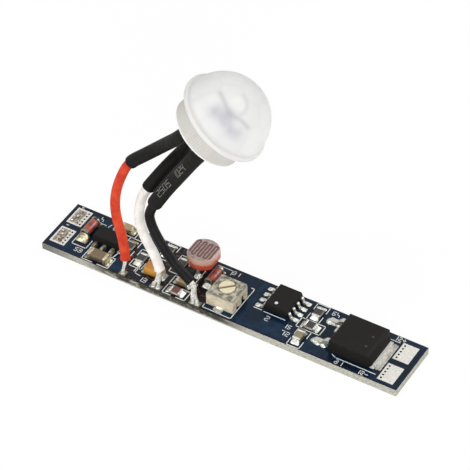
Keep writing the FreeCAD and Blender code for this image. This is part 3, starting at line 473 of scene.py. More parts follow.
def frames(line, across):
    """Two directions square to the line at each point: one near across, and one square to both."""
    ahead = unit(np.gradient(line, axis=0))
    up = unit(np.cross(ahead, np.broadcast_to(across, ahead.shape)))
    return unit(np.cross(up, ahead)), up


def carried(line, section, across, scale=1.0):
    """A section, (count, 2), carried along a line; scale may change from point to point."""
    side, up = frames(line, np.array(across, float))
    factor = np.broadcast_to(scale, (len(line),))[:, None, None]
    sideways, upwards = section[None, :, :1] * side[:, None], section[None, :, 1:] * up[:, None]
    return line[:, None] + factor * (sideways + upwards)


def circle(radius, count=24):
    """radius * (cos(turn), sin(turn)) for count turns."""
    turn = np.linspace(0, 2 * np.pi, count, endpoint=False)
    return radius * np.stack([np.cos(turn), np.sin(turn)], axis=1)


Y_AXIS = (0.0, 1.0, 0.0)
print("Line helpers are ready")

# %% [markdown]
# ## Blocks with soft edges
# Moulded cases and chips are boxes, but a real one never has a razor edge: light catches a small
# radius. A cube with a Bevel would give that too, and a stack of outlines gives the lean of a
# mould as well. A rounded block is a sphere pulled apart at its equators, so its corners keep the
# sphere's curve and its sides are flat. A case is a stack of rounded rectangles, drawn in towards
# the top and the bottom by the slope that lets it leave its mould.

# %% Rounded blocks and moulded cases
SMALLEST_CORNER = 0.02


def rounded_rectangle(half_x, half_y, radius, steps=5):
    """Four quarter circles of one radius, one at each corner."""
    quarter = np.linspace(0, np.pi / 2, steps + 1)
    turn = np.concatenate([quarter + side * np.pi / 2 for side in range(4)])
    corner_x = np.repeat([1, -1, -1, 1], steps + 1)
    corner_y = np.repeat([1, 1, -1, -1], steps + 1)
    return np.stack([corner_x * (half_x - radius) + radius * np.cos(turn),
                     corner_y * (half_y - radius) + radius * np.sin(turn)], axis=1)


def stacked(plans, heights, foot):
    """Closed plans one above the other, each at its height over foot."""
    levels = [np.c_[plan, np.full(len(plan), height)] for plan, height in zip(plans, heights)]
    return rings(np.stack(levels) + foot)


def rounded_block(low, high, radius, steps=4):
    """At latitude t of its corner spheres, a rounded rectangle with corners of radius * cos(t)."""
    flat, centre = (high - low) / 2 - radius, (high + low) / 2
    quarter = np.linspace(0, np.pi / 2, steps + 1)
    latitude = np.concatenate([quarter - np.pi / 2, quarter])
    heights = np.repeat([-1, 1], steps + 1) * flat[2] + radius * np.sin(latitude)
    corners = radius * np.cos(latitude)
    plans = [rounded_rectangle(flat[0] + corner, flat[1] + corner, corner, steps) for corner in corners]
    return stacked(plans, heights, centre)


def moulded(low, high, corner, levels):
    """Rounded rectangles stacked at (share of the height, drawn in by) levels."""
    half, centre = (high - low) / 2, (high + low) / 2
    plans = [rounded_rectangle(half[0] - inset, half[1] - inset, max(corner - inset / 2, SMALLEST_CORNER))
             for _, inset in levels]
    heights = [share * (high[2] - low[2]) for share, _ in levels]
    return stacked(plans, heights, (centre[0], centre[1], low[2]))


print("Block helpers are ready")

# %% [markdown]
# ## Solder
# Molten solder climbs the metal of a part and spreads to the edge of its pad. A ball or a wedge
# would look like neither, so each joint is a small hollow slope: a height over the pad, highest
# at the part, falling in a hollow curve to the toe, and rounded off at both sides. Noise in the
# finish breaks up its reflections, because what makes solder look wet is how sharply bright turns
# to dark.

# %% Solder slopes and drops
INSIDE_PART, BELLY = 0.12, 0.1


def fillet(foot, outward, width, height, reach, hollow=1.9, spread=0.16, steps=12):
    """height * (1 - u) ** hollow over the pad, u outwards and v across, rounded off at the sides."""
    outward = np.array([*outward, 0.0])
    across = np.array([-outward[1], outward[0], 0.0])
    u = np.linspace(-INSIDE_PART, 1, steps)[:, None]
    v = np.linspace(-1, 1, steps + 3)[None, :]
    widen = 1 + spread * np.sin(np.clip(u, 0, 1) * np.pi)
    rise = height * (1 - np.clip(u, 0, 1)) ** hollow * np.clip(1 - np.abs(v) ** 3.0, 0, 1) ** 0.5
    rise = rise + BELLY * height * np.sin(np.clip(u, 0, 1) * np.pi) * (1 - v ** 2)
    plan = (np.array(foot) + (u * reach)[..., None] * outward + (v * widen * width / 2)[..., None] * across)
    top = plan.copy()
    top[..., 2] += rise
    return shell(top, plan)


def drop(centre, radii, seed=0, power=1.0, steps=18):
    """A drop of solder: height * (1 - r * r) ** power on an oval, with an uneven edge."""
    turn = np.linspace(0, 2 * np.pi, 2 * steps, endpoint=False)
    r = np.linspace(1, 0, steps)[:, None]
    edge = 1 + 0.08 * np.sin(3 * turn + seed) + 0.05 * np.sin(5 * turn + 2.1 * seed)
    x = centre[0] + radii[0] * r * edge * np.cos(turn)
    y = centre[1] + radii[1] * r * edge * np.sin(turn)
    lumps = 1 + 0.12 * np.sin(2 * turn + seed) * r
    z = centre[2] + radii[2] * np.clip(1 - r ** 2, 0, 1) ** power * lumps
    return rings(np.stack([x, y, z], axis=2))


print("Solder shapes are ready")

# %% [markdown]
# Solder is bright where it is new. At the supply end old flux has browned it, and at the legs of
# the transistor it has greyed. Both stains depend on the place along the board, so they stay put.

# %% Solder finish
FLUX_END, FLUX_SHARE = (-16.8, -14.8), 0.85
GREYED_FROM, GREYED_TO, GREYED_SHARE = (13.9, 14.4), (18.4, 18.9), 0.35


def fluxed(finish, colour):
    """A metal's colour, browned by old flux at the supply end of the board."""
    stained = 1 - finish.axes()[0].between(*FLUX_END)
    burnt = finish.noise(1.4, 3.0, 0.6).between(0.4, 0.62)
    return finish.mix(stained * FLUX_SHARE, colour, finish.mix(burnt, (104, 88, 66), (200, 190, 152)))


solder = Finish("solder_bright", Metallic=0.75, Specular_IOR_Level=0.6)
mottle = solder.noise(1.8, 2.0, 0.5)
bright = solder.mix(mottle.between(0.35, 0.65), (184, 187, 178), (240, 241, 234))
greyed = solder.axes()[0].within(GREYED_FROM, GREYED_TO) * solder.noise(1.1, 2.0, 0.5).between(0.38, 0.55)
bright = solder.mix(greyed * GREYED_SHARE, bright, (130, 136, 116))
solder.put(Base_Color=fluxed(solder, bright), Roughness=0.34 + mottle * 0.2)
solder.bump(solder.noise(1.3, 1.5, 0.5), 0.07)
print("Solder is ready")

# %% [markdown]
# ## Other metals
# Tinned ends and legs are duller than fresh solder. Lands keep the streaks of the print that laid
# them. The trimmer's plate is rolled sheet, with a fine grain along one direction. One colour
# would make them all look like plastic, so each is mixed from two by noise of its own size.

# %% Tin, sheet metal and lands
tin = Finish("tinned_metal", Metallic=0.7)
wear = tin.noise(1.6, 2.0)
tin.put(Base_Color=fluxed(tin, tin.mix(wear, (172, 171, 162), (218, 217, 208))), Roughness=0.26 + wear * 0.2)
tin.bump(wear, 0.02)

sheet = Finish("rolled_sheet", Metallic=0.5)
grain = sheet.noise(3.0, 3.0, 0.6, sheet.stretched(1.0, 9.0, 9.0))
blotch = sheet.noise(1.3, 3.0, 0.6)
sheet.put(Base_Color=sheet.mix(blotch.between(0.36, 0.64), (110, 106, 92), (194, 189, 174)),
          Roughness=0.4 + grain * 0.25)
sheet.bump(grain, 0.02)

land = Finish("land_tin", Metallic=0.3)
streak = land.noise(2.2, 3.0, 0.6, land.stretched(5.0, 1.0, 1.0))
land.put(Base_Color=land.mix(streak.between(0.3, 0.7), (200, 197, 188), (232, 230, 223)),
         Roughness=0.42 + streak * 0.2)
land.bump(streak, 0.03)

# Painted shade: the pads' tin is painted darker than the legs' tin.
pad_tin_shaded = Finish("pad_tin_painted_shade", Metallic=0.6, Roughness=0.5, Base_Color=linear(132, 127, 117))
# Painted shade: the diodes' tinned caps are painted dark, with a lighter mottle by noise.
shaded_cap = Finish("diode_cap_painted_shade", Metallic=0.7, Roughness=0.35)
cap_mottle = shaded_cap.noise(1.7, 2.0).between(0.4, 0.6)
shaded_cap.put(Base_Color=shaded_cap.mix(cap_mottle, (66, 60, 54), (150, 142, 130)))
print("Metals are ready")

# %% [markdown]
# ## The circuit board
# Glass-fibre board under blue solder mask. The mask is glossy, and the sawn edges are bare, pale
# and streaked along their layers. Two boxes could stand for top and edge, but the CAD board has
# the right outline and holes. So it stays, and one finish tells top from edge by how near a point
# is to the outline. Painted shadow lies dark in the cluttered middle, with brown specks of residue
# in it, and dirt lies along the front edge below it.

# %% Solder mask
EDGE_MM = 0.03
SHADOW_RESIDUE_FROM, SHADOW_RESIDUE_TO = (-21, -18), (-3, 0)
board_low, board_high = span("circuit_board")
BOARD_TOP = board_high[2]

mask = Finish("solder_mask_blue", Coat_Weight=0.06, Coat_Roughness=0.12, Specular_IOR_Level=0.15)
x, y, z = mask.axes()
cloud = mask.noise(0.35, 3.0, 0.55)
fine = mask.noise(2.4, 3.0, 0.6)
# Painted shadow: near-black patches in the cluttered middle, with brown specks of residue in them.
shadow_and_residue = mask.noise(0.9, 4.0, 0.65).between(0.3, 0.5) * x.within(SHADOW_RESIDUE_FROM, SHADOW_RESIDUE_TO)
specks = mask.noise(2.6, 3.0, 0.6).between(0.53, 0.62) * shadow_and_residue
blue = mask.layered(
    mask.mix(cloud.between(0.35, 0.65), (5, 19, 28), (8, 26, 48)),
    (fine.between(0.45, 0.75) * 0.5, (17, 42, 66)),
    (shadow_and_residue * 0.85, (14, 12, 12)),
    (specks * 0.8, (96, 72, 58)))
print("Mask has its blue")

# %% Bare edges
LAYER_WAVES = 26
DIRT_FROM, DIRT_TO, DIRT_FRONT, DIRT_ABOVE = (-24, -18), (0, 7), (-5, 0), (0.1, 0.4)
DARK_END = (-30, -22)
edge = (abs(x) > board_high[0] - EDGE_MM).most(abs(y) > board_high[1] - EDGE_MM)
layers = (z * LAYER_WAVES).sine() * 0.5 + 0.5
fibre = mask.noise(3.5, 4.0, 0.7, mask.stretched(0.5, 0.5, 3.0))
dirt = mask.noise(0.5, 4.0, 0.7, mask.stretched(1.0, 1.0, 2.5)).between(0.3, 0.5)
dirt = dirt * x.within(DIRT_FROM, DIRT_TO) * (1 - y.between(*DIRT_FRONT)) * z.between(*DIRT_ABOVE)
laminate = mask.layered(
    mask.mix(fibre.between(0.3, 0.7), (158, 155, 142), (208, 206, 196)), (layers * 0.3, (132, 127, 112)),
    (dirt * 0.95, (44, 38, 28)), ((1 - x.between(*DARK_END)) * 0.7, (80, 82, 82)))
mask.put(Base_Color=mask.mix(edge, blue, laminate), Roughness=0.28 + edge * 0.45 + fine * 0.08)
mask.bump(fibre * edge + cloud * 0.3, 0.04)
dress(mask, "circuit_board")
print("Board is", np.round(board_high - board_low, 2), "mm")

# %% [markdown]
# Copper under the mask is raised by a few hundredths of a millimetre and looks a shade lighter.
# Paint could show the shade but not the step, so each field is a thin block of its own between
# the joints that it feeds.

# %% Conductors under the mask
FIELD_RISE = 0.018
FIELDS = [
    (-27.1, 0.9, -22.5, 4.3), (-27.1, -4.2, -26.2, -0.6), (-24.2, -4.6, -23.2, 2.4),
    (-19.4, -4.7, -16.9, -2.2), (-17.2, 0.9, -13.9, 4.6), (-13.9, -4.7, -7.8, -4.1),
    (-10.6, 3.6, -2.6, 4.7), (-2.6, -4.7, 6.4, -3.3), (2.9, -3.3, 3.8, 4.6), (4.6, -0.5, 11.3, 0.1),
    (6.5, -4.6, 12.0, -1.6), (5.2, 4.35, 19.8, 4.75), (14.4, -4.7, 18.6, -1.2), (14.5, 1.6, 18.6, 4.2),
    (26.4, -4.6, 30.0, -4.25), (26.9, 3.9, 30.0, 4.6),
]


def slabs(boxes, base, rise):
    """Flat blocks from (low x, low y, high x, high y) rows, all worked out at once."""
    boxes = np.array(boxes, float)
    x_low, y_low, x_high, y_high = boxes.T
    ring = np.stack([np.stack([x_low, y_low], 1), np.stack([x_high, y_low], 1),
                     np.stack([x_high, y_high], 1), np.stack([x_low, y_high], 1)], axis=1)
    return bars(ring, base, rise)


def bars(ring, base, rise):
    """Flat blocks over four-cornered plans, (count, 4, 2)."""
    count = len(ring)
    bottom = np.concatenate([ring, np.full((count, 4, 1), base)], axis=2)
    top = np.concatenate([ring, np.full((count, 4, 1), base + rise)], axis=2)
    points = np.concatenate([bottom, top], axis=1).reshape(-1, 3)
    quads = np.array([[3, 2, 1, 0], [4, 5, 6, 7], [0, 1, 5, 4], [1, 2, 6, 5], [2, 3, 7, 6], [3, 0, 4, 7]])
    faces = (quads[None] + 8 * np.arange(count)[:, None, None]).reshape(-1, 4)
    return points, [faces]


copper_field = Finish("mask_over_copper", Roughness=0.3, Coat_Weight=0.06, Coat_Roughness=0.12,
                      Specular_IOR_Level=0.15)
tint = copper_field.noise(0.7, 3.0, 0.6)
copper_field.put(Base_Color=copper_field.mix(tint.between(0.35, 0.65), (7, 27, 46), (12, 41, 66)))
piece("conductors", [slabs(FIELDS, BOARD_TOP, FIELD_RISE)], copper_field)

# %% [markdown]
# ## Printed marks
# White ink draws a box round each part and a mark beside it. Plain digits and plus and minus
# signs stand in for the marks. Text objects would bring a font with them, so a sign is one or two
# strokes between the points of a small grid, and all lines are strips of one width.

# %% Ink lines and signs
INK_RISE, INK_WIDTH, SIGN_WIDTH = 0.03, 0.14, 0.119
SIGN_ADVANCE, SIGN_GAP = 0.95, 0.35
SIGN_GRID = np.array([[0, 1], [0.6, 1], [0, 0.5], [0.6, 0.5], [0, 0], [0.6, 0], [0.3, 0.8], [0.3, 0.2]])
SIGNS = {
    "0": ["015420"], "1": ["15"], "2": ["013245"], "3": ["0132354"], "4": ["02315"], "5": ["102354"],
    "6": ["1024532"], "7": ["015"], "8": ["0154023"], "9": ["3201354"], "-": ["23"], "+": ["23", "67"],
}


def strokes(lines, width, base, rise):
    """Straight strokes from (x, y, x, y) rows, as flat blocks a little longer than the line."""
    lines = np.array(lines, float)
    start, stop = lines[:, :2], lines[:, 2:]
    ahead = unit(stop - start) * width / 2
    left = ahead[:, ::-1] * [-1, 1]
    ring = np.stack([start - ahead - left, stop + ahead - left, stop + ahead + left, start - ahead + left],
                    axis=1)
    return bars(ring, base, rise)


def box_lines(low_x, low_y, high_x, high_y, gap=1.0):
    """The outline of a part, open in the middle of its two long sides."""
    if high_x - low_x > high_y - low_y:
        return [(b, a, d, c) for a, b, c, d in box_lines(low_y, low_x, high_y, high_x)]
    middle = (low_y + high_y) / 2
    halves = ((low_y, middle - gap / 2), (middle + gap / 2, high_y))
    return ([(low_x, y, high_x, y) for y in (low_y, high_y)]
            + [(x, start, x, stop) for x in (low_x, high_x) for start, stop in halves])


def written(text, x, y, height):
    """The strokes of a row of signs whose middle is at (x, y)."""
    advance = SIGN_ADVANCE * height
    left = x - (len(text) * advance - SIGN_GAP * height) / 2
    lines = []
    for place, sign in enumerate(text):
        for route in SIGNS[sign]:
            corners = SIGN_GRID[[int(number) for number in route]] * height
            corners = corners + (left + place * advance, y - height / 2)
            lines += np.hstack([corners[:-1], corners[1:]]).tolist()
    return lines


LINES = [
    (-26.62, -0.87, -26.62, -2.75), (-24.1, -0.87, -24.1, -2.75), (-26.62, -2.75, -24.1, -2.75),
    (-25.45, 3.19, -24.09, 3.07), (-23.63, 2.94, -23.44, 3.65), (-23.55, -0.88, -23.55, -4.7),
    (-23.5, -4.75, -21.7, -4.75), (-20.8, -4.75, -19.0, -4.75), (-18.95, -4.75, -18.95, -2.47),
    (-18.95, -2.42, -20.3, -2.4), (-19.51, -2.24, -19.25, -0.93), (-14.92, -1.0, -14.92, -3.4),
    (-15.2, -1.6, -15.2, -3.2), (-14.92, -3.4, -13.9, -3.6), (-5.9, -1.0, -5.9, 2.2),
    (-4.9, 4.33, -2.3, 4.33), (-2.3, 4.33, -2.3, 3.5), (5.97, -0.72, 9.5, -0.72), (4.18, -0.62, 5.47, -0.62),
    (19.74, -3.65, 26.3, -3.65), (24.6, 3.75, 26.4, 3.75), (19.0, -3.3, 19.74, -3.65),
    (-2.45, -4.45, 2.42, -4.55), (-2.45, -4.45, -2.45, -3.8), (2.42, -4.55, 2.42, 2.6),
    (2.42, 2.6, 1.9, 2.6),
]
BOXES = [
    (-22.8, 2.85, -18.9, 4.86), (-19.5, -1.05, -17.4, 2.8), (-16.6, -2.4, -14.5, 1.45),
    (-10.75, -0.5, -8.65, 3.4), (-13.8, 1.1, -11.8, 4.9), (-9.3, -4.8, -5.4, -2.85),
    (-9.3, -2.78, -5.4, -0.85), (12.05, 1.15, 14.15, 4.85), (11.45, -0.9, 15.45, 1.08),
    (12.1, -4.85, 14.2, -0.95),
]
MARKS = [
    ("+", -29.3, 4.68, 0.42), ("-", -29.3, 0.28, 0.5), ("4", -25.3, 3.95, 0.75), ("53", -24.9, -3.55, 0.75),
    ("13", -13.1, -4.1, 0.8), ("7", -14.7, 4.6, 0.55), ("31", -1.6, 4.05, 0.7), ("2", 7.1, -1.75, 0.9),
    ("15", 10.5, -1.7, 0.7), ("72", 10.9, -3.1, 0.8), ("64", 15.5, 4.15, 0.75), ("81", 20.6, -4.3, 0.75),
    ("12+", 26.1, 4.42, 0.72), ("12-", 24.6, -4.4, 0.7),
]
ink = Finish("white_ink", Base_Color=linear(215, 218, 215), Roughness=0.6)
part_lines = LINES + [line for box in BOXES for line in box_lines(*box)]
mark_lines = [line for mark in MARKS for line in written(*mark)]
piece("printed_lines", [strokes(part_lines, INK_WIDTH, BOARD_TOP, INK_RISE)], ink)
piece("printed_signs", [strokes(mark_lines, SIGN_WIDTH, BOARD_TOP, INK_RISE)], ink)

# %% [markdown]
# ## Lands and pads
# The two pairs of lands take the supply and the light strip. The output lands are clean and only
# streaked. The supply lands hold old solder, rough and brown with flux. Noise alone would leave
# it flat, so it is a sheet whose height is a sum of sine waves, falling to nothing at its border.

# %% Lands, pads and old solder
dress(land, "supply_land_plus", "supply_land_minus", "output_land_plus", "output_land_minus")
# The pads take the darker tin as painted shade.
dress(pad_tin_shaded, "component_pads")


def lumpy_sheet(low_x, low_y, high_x, high_y, base, height, seed, count=36):
    """height times a sum of sine waves over a rectangle, 0 at its border."""
    u, v = np.meshgrid(np.linspace(-1, 1, count), np.linspace(-1, 1, count))
    x = low_x + (u + 1) / 2 * (high_x - low_x)
    y = low_y + (v + 1) / 2 * (high_y - low_y)
    waves = (np.sin(5.1 * x + 1.7 * y + seed) + np.sin(-3.3 * x + 5.9 * y + 2.3 * seed)
             + 0.7 * np.sin(9.7 * x + 7.1 * y + 4.1 * seed) + 0.6 * np.sin(13.1 * y - 8.3 * x + seed))
    fade = np.clip(np.minimum(1 - np.abs(u), 1 - np.abs(v)) * 5, 0, 1) ** 0.5
    z = base + height * np.clip(0.55 + 0.25 * waves, 0.12, None) * fade
    return shell(np.stack([x, y, z], axis=2), np.stack([x, y, np.full_like(x, base)], axis=2))


LAND_TOP = span("supply_land_plus")[1][2]
SUPPLY_SOLDER_END, SUPPLY_SOLDER_RISE, BARE_RIM = -28.05, 0.16, 0.3
old_solder = Finish("old_solder", Metallic=0.75)
flux = old_solder.noise(1.9, 4.0, 0.65)
spark = old_solder.noise(2.2, 2.0, 0.5)
aged = old_solder.mix(flux.between(0.38, 0.6), (96, 84, 74), (170, 160, 146))
old_solder.put(Base_Color=old_solder.mix(spark.between(0.58, 0.72) * 0.8, aged, (236, 234, 228)),
               Roughness=0.3 + flux * 0.3)
old_solder.bump(spark, 0.12)
supply = []
for node, seed in (("supply_land_plus", 1.0), ("supply_land_minus", 4.2)):
    low, high = span(node)
    supply.append(lumpy_sheet(*(low[:2] + BARE_RIM), SUPPLY_SOLDER_END, high[1] - BARE_RIM, LAND_TOP,
                              SUPPLY_SOLDER_RISE, seed))
piece("supply_solder", supply, old_solder)

# %% [markdown]
# ## Chips
# A resistor is a white ceramic block with dark glaze on its top; a capacitor is one block of
# brown ceramic, whose top is painted lighter than its sides as painted light. Both have tinned
# caps on their ends, a little thicker than the block, and the solder slope rises over those caps.
# The glaze could be a sheet of its own, but a step of colour at its height looks the same from
# every side and needs no faces.

# %% Ceramic finishes
CAPACITOR_LIGHT_STEP, RESISTOR_SPLIT, INPUT_LIGHT_STEP = 1.9, 1.68, 2.1
GRAIN_PALER = 24


def glaze_and_lit_top(name, top, side, split_z):
    """A ceramic finish whose colour changes at a height: a resistor's glaze, a capacitor's painted light."""
    made = Finish(name, Coat_Weight=0.2)
    grains = made.noise(6.0, 2.0)
    above = made.axes()[2].between(split_z - 0.03, split_z + 0.03)
    paler = [channel + GRAIN_PALER for channel in top]
    return made.put(Base_Color=made.mix(above, side, made.mix(grains, top, paler)),
                    Roughness=0.35 + grains * 0.2)


dark_glaze = glaze_and_lit_top("resistor_glaze", (24, 22, 22), (190, 182, 168), RESISTOR_SPLIT)
red_glaze = glaze_and_lit_top("resistor_glaze_red", (84, 38, 34), (190, 182, 168), RESISTOR_SPLIT)
# On the capacitors the step is painted light: the top lighter, the sides darker.
beige_ceramic = glaze_and_lit_top("ceramic_beige", (150, 122, 84), (132, 108, 76), CAPACITOR_LIGHT_STEP)
olive_ceramic = glaze_and_lit_top("ceramic_olive", (118, 106, 82), (100, 90, 70), CAPACITOR_LIGHT_STEP)
brown_ceramic = glaze_and_lit_top("ceramic_brown", (94, 74, 50), (72, 56, 38), INPUT_LIGHT_STEP)
print("Ceramics are ready")

# %% Chip bodies, end caps and their solder
SEAT = LAND_TOP
CAP_GROW, CAP_CORNER, CAP_SLOPE = 0.02, 0.14, (0.96, 0.8, 0.5)
SMALL, LARGE = (0.4, 0.06), (0.5, 0.12)
ALONG_X, ALONG_Y = 0, 1
CHIPS = [
    ("chip_resistor_1", ALONG_Y, SMALL, dark_glaze), ("chip_resistor_2", ALONG_Y, SMALL, dark_glaze),
    ("chip_resistor_3", ALONG_Y, SMALL, dark_glaze), ("chip_resistor_4", ALONG_Y, SMALL, dark_glaze),
    ("chip_resistor_5", ALONG_X, SMALL, red_glaze), ("chip_resistor_6", ALONG_Y, SMALL, dark_glaze),
    ("chip_resistor_7", ALONG_X, SMALL, dark_glaze), ("chip_capacitor_1", ALONG_X, SMALL, beige_ceramic),
    ("chip_capacitor_2", ALONG_X, SMALL, beige_ceramic), ("chip_capacitor_3", ALONG_Y, SMALL, olive_ceramic),
    ("input_capacitor", ALONG_X, LARGE, brown_ceramic),
]


def end_faces(low, high, axis, end):
    """For each end of a part: its outward direction and the box of its metal cap."""
    for side in (-1, 1):
        outward = np.zeros(2)
        outward[axis] = side
        a, b = low - [CAP_GROW, CAP_GROW, 0], high + CAP_GROW
        if side < 0:
            a[axis], b[axis] = low[axis] - end, low[axis] + CAP_GROW
        else:
            a[axis], b[axis] = high[axis] - CAP_GROW, high[axis] + end
        yield outward, a, b


def end_slope(low, high, outward, width, height, reach):
    """The solder slope against the outer face of a box, as wide and high as shares of it."""
    middle = (low + high) / 2
    foot = np.array([*(middle[:2] + outward * (high - low)[:2] / 2), SEAT])
    across = (high - low)[0 if outward[1] else 1]
    return fillet(foot, outward, width * across, height * (high[2] - low[2]), reach)


caps, joints = [], []
for name, axis, (end, corner), finish in CHIPS:
    low, high = span(name)
    piece(name + "_body", [rounded_block(low, high, corner)], finish, name)
    for outward, a, b in end_faces(low, high, axis, end):
        caps.append(rounded_block(a, b, CAP_CORNER))
        joints.append(end_slope(a, b, outward, *CAP_SLOPE))
piece("chip_end_caps", caps, tin, "chip_ends")

# %% [markdown]
# ## Tantalum capacitor
# It is moulded in yellow resin that leans in above its middle, where the colour changes a little
# too. A block would do from far away; the lean is what tells it from a chip.

# %% Tantalum capacitor
PARTING = (2.55, 2.75)
TANTALUM_LEVELS = [(0, 0.1), (0.06, 0.03), (0.45, 0), (0.93, 0.08), (1, 0.16)]
resin = Finish("tantalum_resin", Coat_Weight=0.1)
resin_grain = resin.noise(4.0, 3.0)
yellow = resin.mix(resin_grain, (196, 138, 46), (214, 160, 70))
resin.put(Base_Color=resin.mix(resin.axes()[2].between(*PARTING), yellow, (186, 124, 48)), Roughness=0.42)
resin.bump(resin_grain, 0.02)
low, high = span("tantalum_capacitor")
piece("tantalum_body", [moulded(low, high, 0.16, TANTALUM_LEVELS)], resin, "tantalum_capacitor")
dress(tin, "tantalum_terminals")
for outward, a, b in end_faces(low, high, ALONG_X, 0.12):
    joints.append(end_slope(a + [0, 0.2, 0], b - [0, 0.2, 0.8], outward, 1.0, 0.85, 0.42))

# %% [markdown]
# ## Glass diodes
# Each is a red glass tube between two metal caps. Cylinders would have flat ends and razor edges,
# so tube and caps are profiles turned on a lathe about the axis of the tube. The glass isn't
# clear: a painted core shows through it, so a coat on a mottled red gives its gloss. The solder
# at the front of the input diode is a large bell, and the other three joints are small.

# %% Lathe and diodes
CAP_LENGTH, TUBE_PLAY, STRAIGHT = 0.5, 0.02, 0.5
BELL, PLAIN = (1.15, 0.66, 1.1), (0.95, 0.45, 0.5)
GLASS = {"diode_in": ((96, 30, 18), (160, 64, 42)), "diode_out": ((88, 26, 15), (160, 56, 34))}


def lathe(profile, origin, axis, count=32):
    """A profile of (radius, height) rows turned about an axis through origin."""
    axis = unit(np.array(axis, float))
    side = unit(np.cross(axis, (0.31, 0.95, 0.05)))
    up = np.cross(axis, side)
    turn = np.linspace(0, 2 * np.pi, count, endpoint=False)
    round_it = np.cos(turn)[:, None] * side + np.sin(turn)[:, None] * up
    profile = np.array(profile, float)
    return rings(origin + profile[:, 1, None, None] * axis + profile[:, 0, None, None] * round_it)


for name, (deep, pale) in GLASS.items():
    low, high = span(name + "_caps")
    middle = (low + high) / 2
    radius, half = (high[0] - low[0]) / 2, (high[1] - low[1]) / 2
    inner = half - CAP_LENGTH
    glass = Finish(name + "_glass", Coat_Weight=0.4, Coat_Roughness=0.2, Roughness=0.4)
    swirl = glass.noise(2.4, 3.0, 0.6)
    band = abs(glass.axes()[1] - middle[1]).between(0.1, 0.55)
    glass.put(Base_Color=glass.mix(band * 0.7 + swirl * 0.3, deep, pale))
    tube_end = [(0, inner + 0.1), (radius - 0.12, inner + 0.1), (radius - 0.06, inner - 0.1),
                (radius - TUBE_PLAY, STRAIGHT)]
    tube = [(r, -height) for r, height in tube_end] + tube_end[::-1]
    piece(name + "_tube", [lathe(tube, middle, (0, 1, 0))], glass, name + "_glass")
    cap = [(0, inner), (radius - 0.06, inner), (radius, inner + 0.05), (radius, half - 0.08),
           (radius - 0.08, half), (0, half)]
    caps = [lathe(cap, middle, (0, side, 0)) for side in (-1, 1)]
    piece(name + "_end_caps", caps, shaded_cap, name + "_caps")
    inward = np.array([0, CAP_LENGTH, 0])
    for outward, a, b in end_faces(low + inward, high - inward, ALONG_Y, CAP_LENGTH):
        bell = name == "diode_in" and outward[1] < 0
        joints.append(end_slope(a, b, outward, *(BELL if bell else PLAIN)))

# %% [markdown]
# ## Black packages
# Regulator, timer and transistor are moulded in black epoxy. Each leans in above and below the
# line where the two halves of its mould met. The transistor has two small ejector marks, which
# are painted lighter by their distance from a point as painted sheen, because a real one is only a
# shallow shiny spot. The timer has a white dot at its first leg.

# %% Regulator and timer
EJECTOR_MARKS, MARK_RADII = ((23.55, 0.655), (23.55, -1.495)), (0.15, 0.28)
epoxy = Finish("black_epoxy", Specular_IOR_Level=0.18)
matte = epoxy.noise(7.0, 3.0, 0.6)
body = epoxy.mix(matte, (14, 13, 12), (28, 26, 24))
x, y, z = epoxy.axes()
# Painted sheen: the ejector marks are painted lighter than the epoxy round them.
mark_sheen = sum(1 - ((x - mark_x) * (x - mark_x) + (y - mark_y) * (y - mark_y)).root().between(*MARK_RADII)
             for mark_x, mark_y in EJECTOR_MARKS)
epoxy.put(Base_Color=epoxy.mix(mark_sheen * 0.6, body, (108, 98, 90)), Roughness=0.6 + matte * 0.2)
epoxy.bump(matte, 0.02)

CASES = {
    "regulator": ("regulator_case", [(0, 0.12), (0.35, 0), (0.45, 0), (0.96, 0.12), (1, 0.16)]),
    "timer_chip": ("timer_case", [(0, 0.14), (0.42, 0), (0.5, 0), (0.97, 0.16), (1, 0.2)]),
}
CASE_CORNER = 0.12
for node, (name, levels) in CASES.items():
    piece(name, [moulded(*span(node), CASE_CORNER, levels)], epoxy, node)
dress(tin, "regulator_legs", "timer_legs", "transistor_legs")
dress(land, "transistor_tab")
DOT_PLACE, DOT_PROFILE = (7.43, 0.38), [(0, 0.015), (0.26, 0.015), (0.26, -0.02), (0, -0.02)]
timer_top = span("timer_chip")[1][2]
piece("timer_dot", [lathe(DOT_PROFILE, np.array([*DOT_PLACE, timer_top]), (0, 0, 1), 20)], ink)

# %% [markdown]
# Each leg's foot stands in a small pool that spreads to the end of its pad. The pools are slopes
# as before, but at the transistor the solder is plentiful and lies in two drops for each leg.

# %% Solder at the legs
TIMER_PITCH, REGULATOR_PITCH, REGULATOR_FIRST = 1.27, 1.5, 2.25
low, high = span("timer_legs")
for place in (-1.5, -0.5, 0.5, 1.5):
    for x_face, side in ((low[0] + 0.1, -1), (high[0] - 0.1, 1)):
        foot = (x_face, (low[1] + high[1]) / 2 + place * TIMER_PITCH, SEAT)
        joints.append(fillet(foot, (side, 0), 0.62, 0.26, 0.72, spread=0.25))
low, high = span("transistor_legs")
for y_leg in (low[1] + 0.38, high[1] - 0.38):
    joints.append(drop((low[0] + 0.25, y_leg, SEAT), (0.95, 0.75, 0.5), seed=y_leg, power=0.8))
    joints.append(drop((low[0] + 1.5, y_leg - 0.1, SEAT), (0.7, 0.6, 0.35), seed=y_leg + 2, power=0.8))
low, high = span("regulator_legs")
middle_leg = span("regulator")[0][0] + REGULATOR_FIRST
for place in (-1, 0, 1):
    joints.append(fillet((middle_leg + place * REGULATOR_PITCH, low[1], SEAT), (0, -1), 0.7, 0.3, 0.3))
joints.append(fillet((middle_leg, high[1], SEAT), (0, 1), 1.8, 0.3, 0.45))
print(len(joints), "solder joints so far")

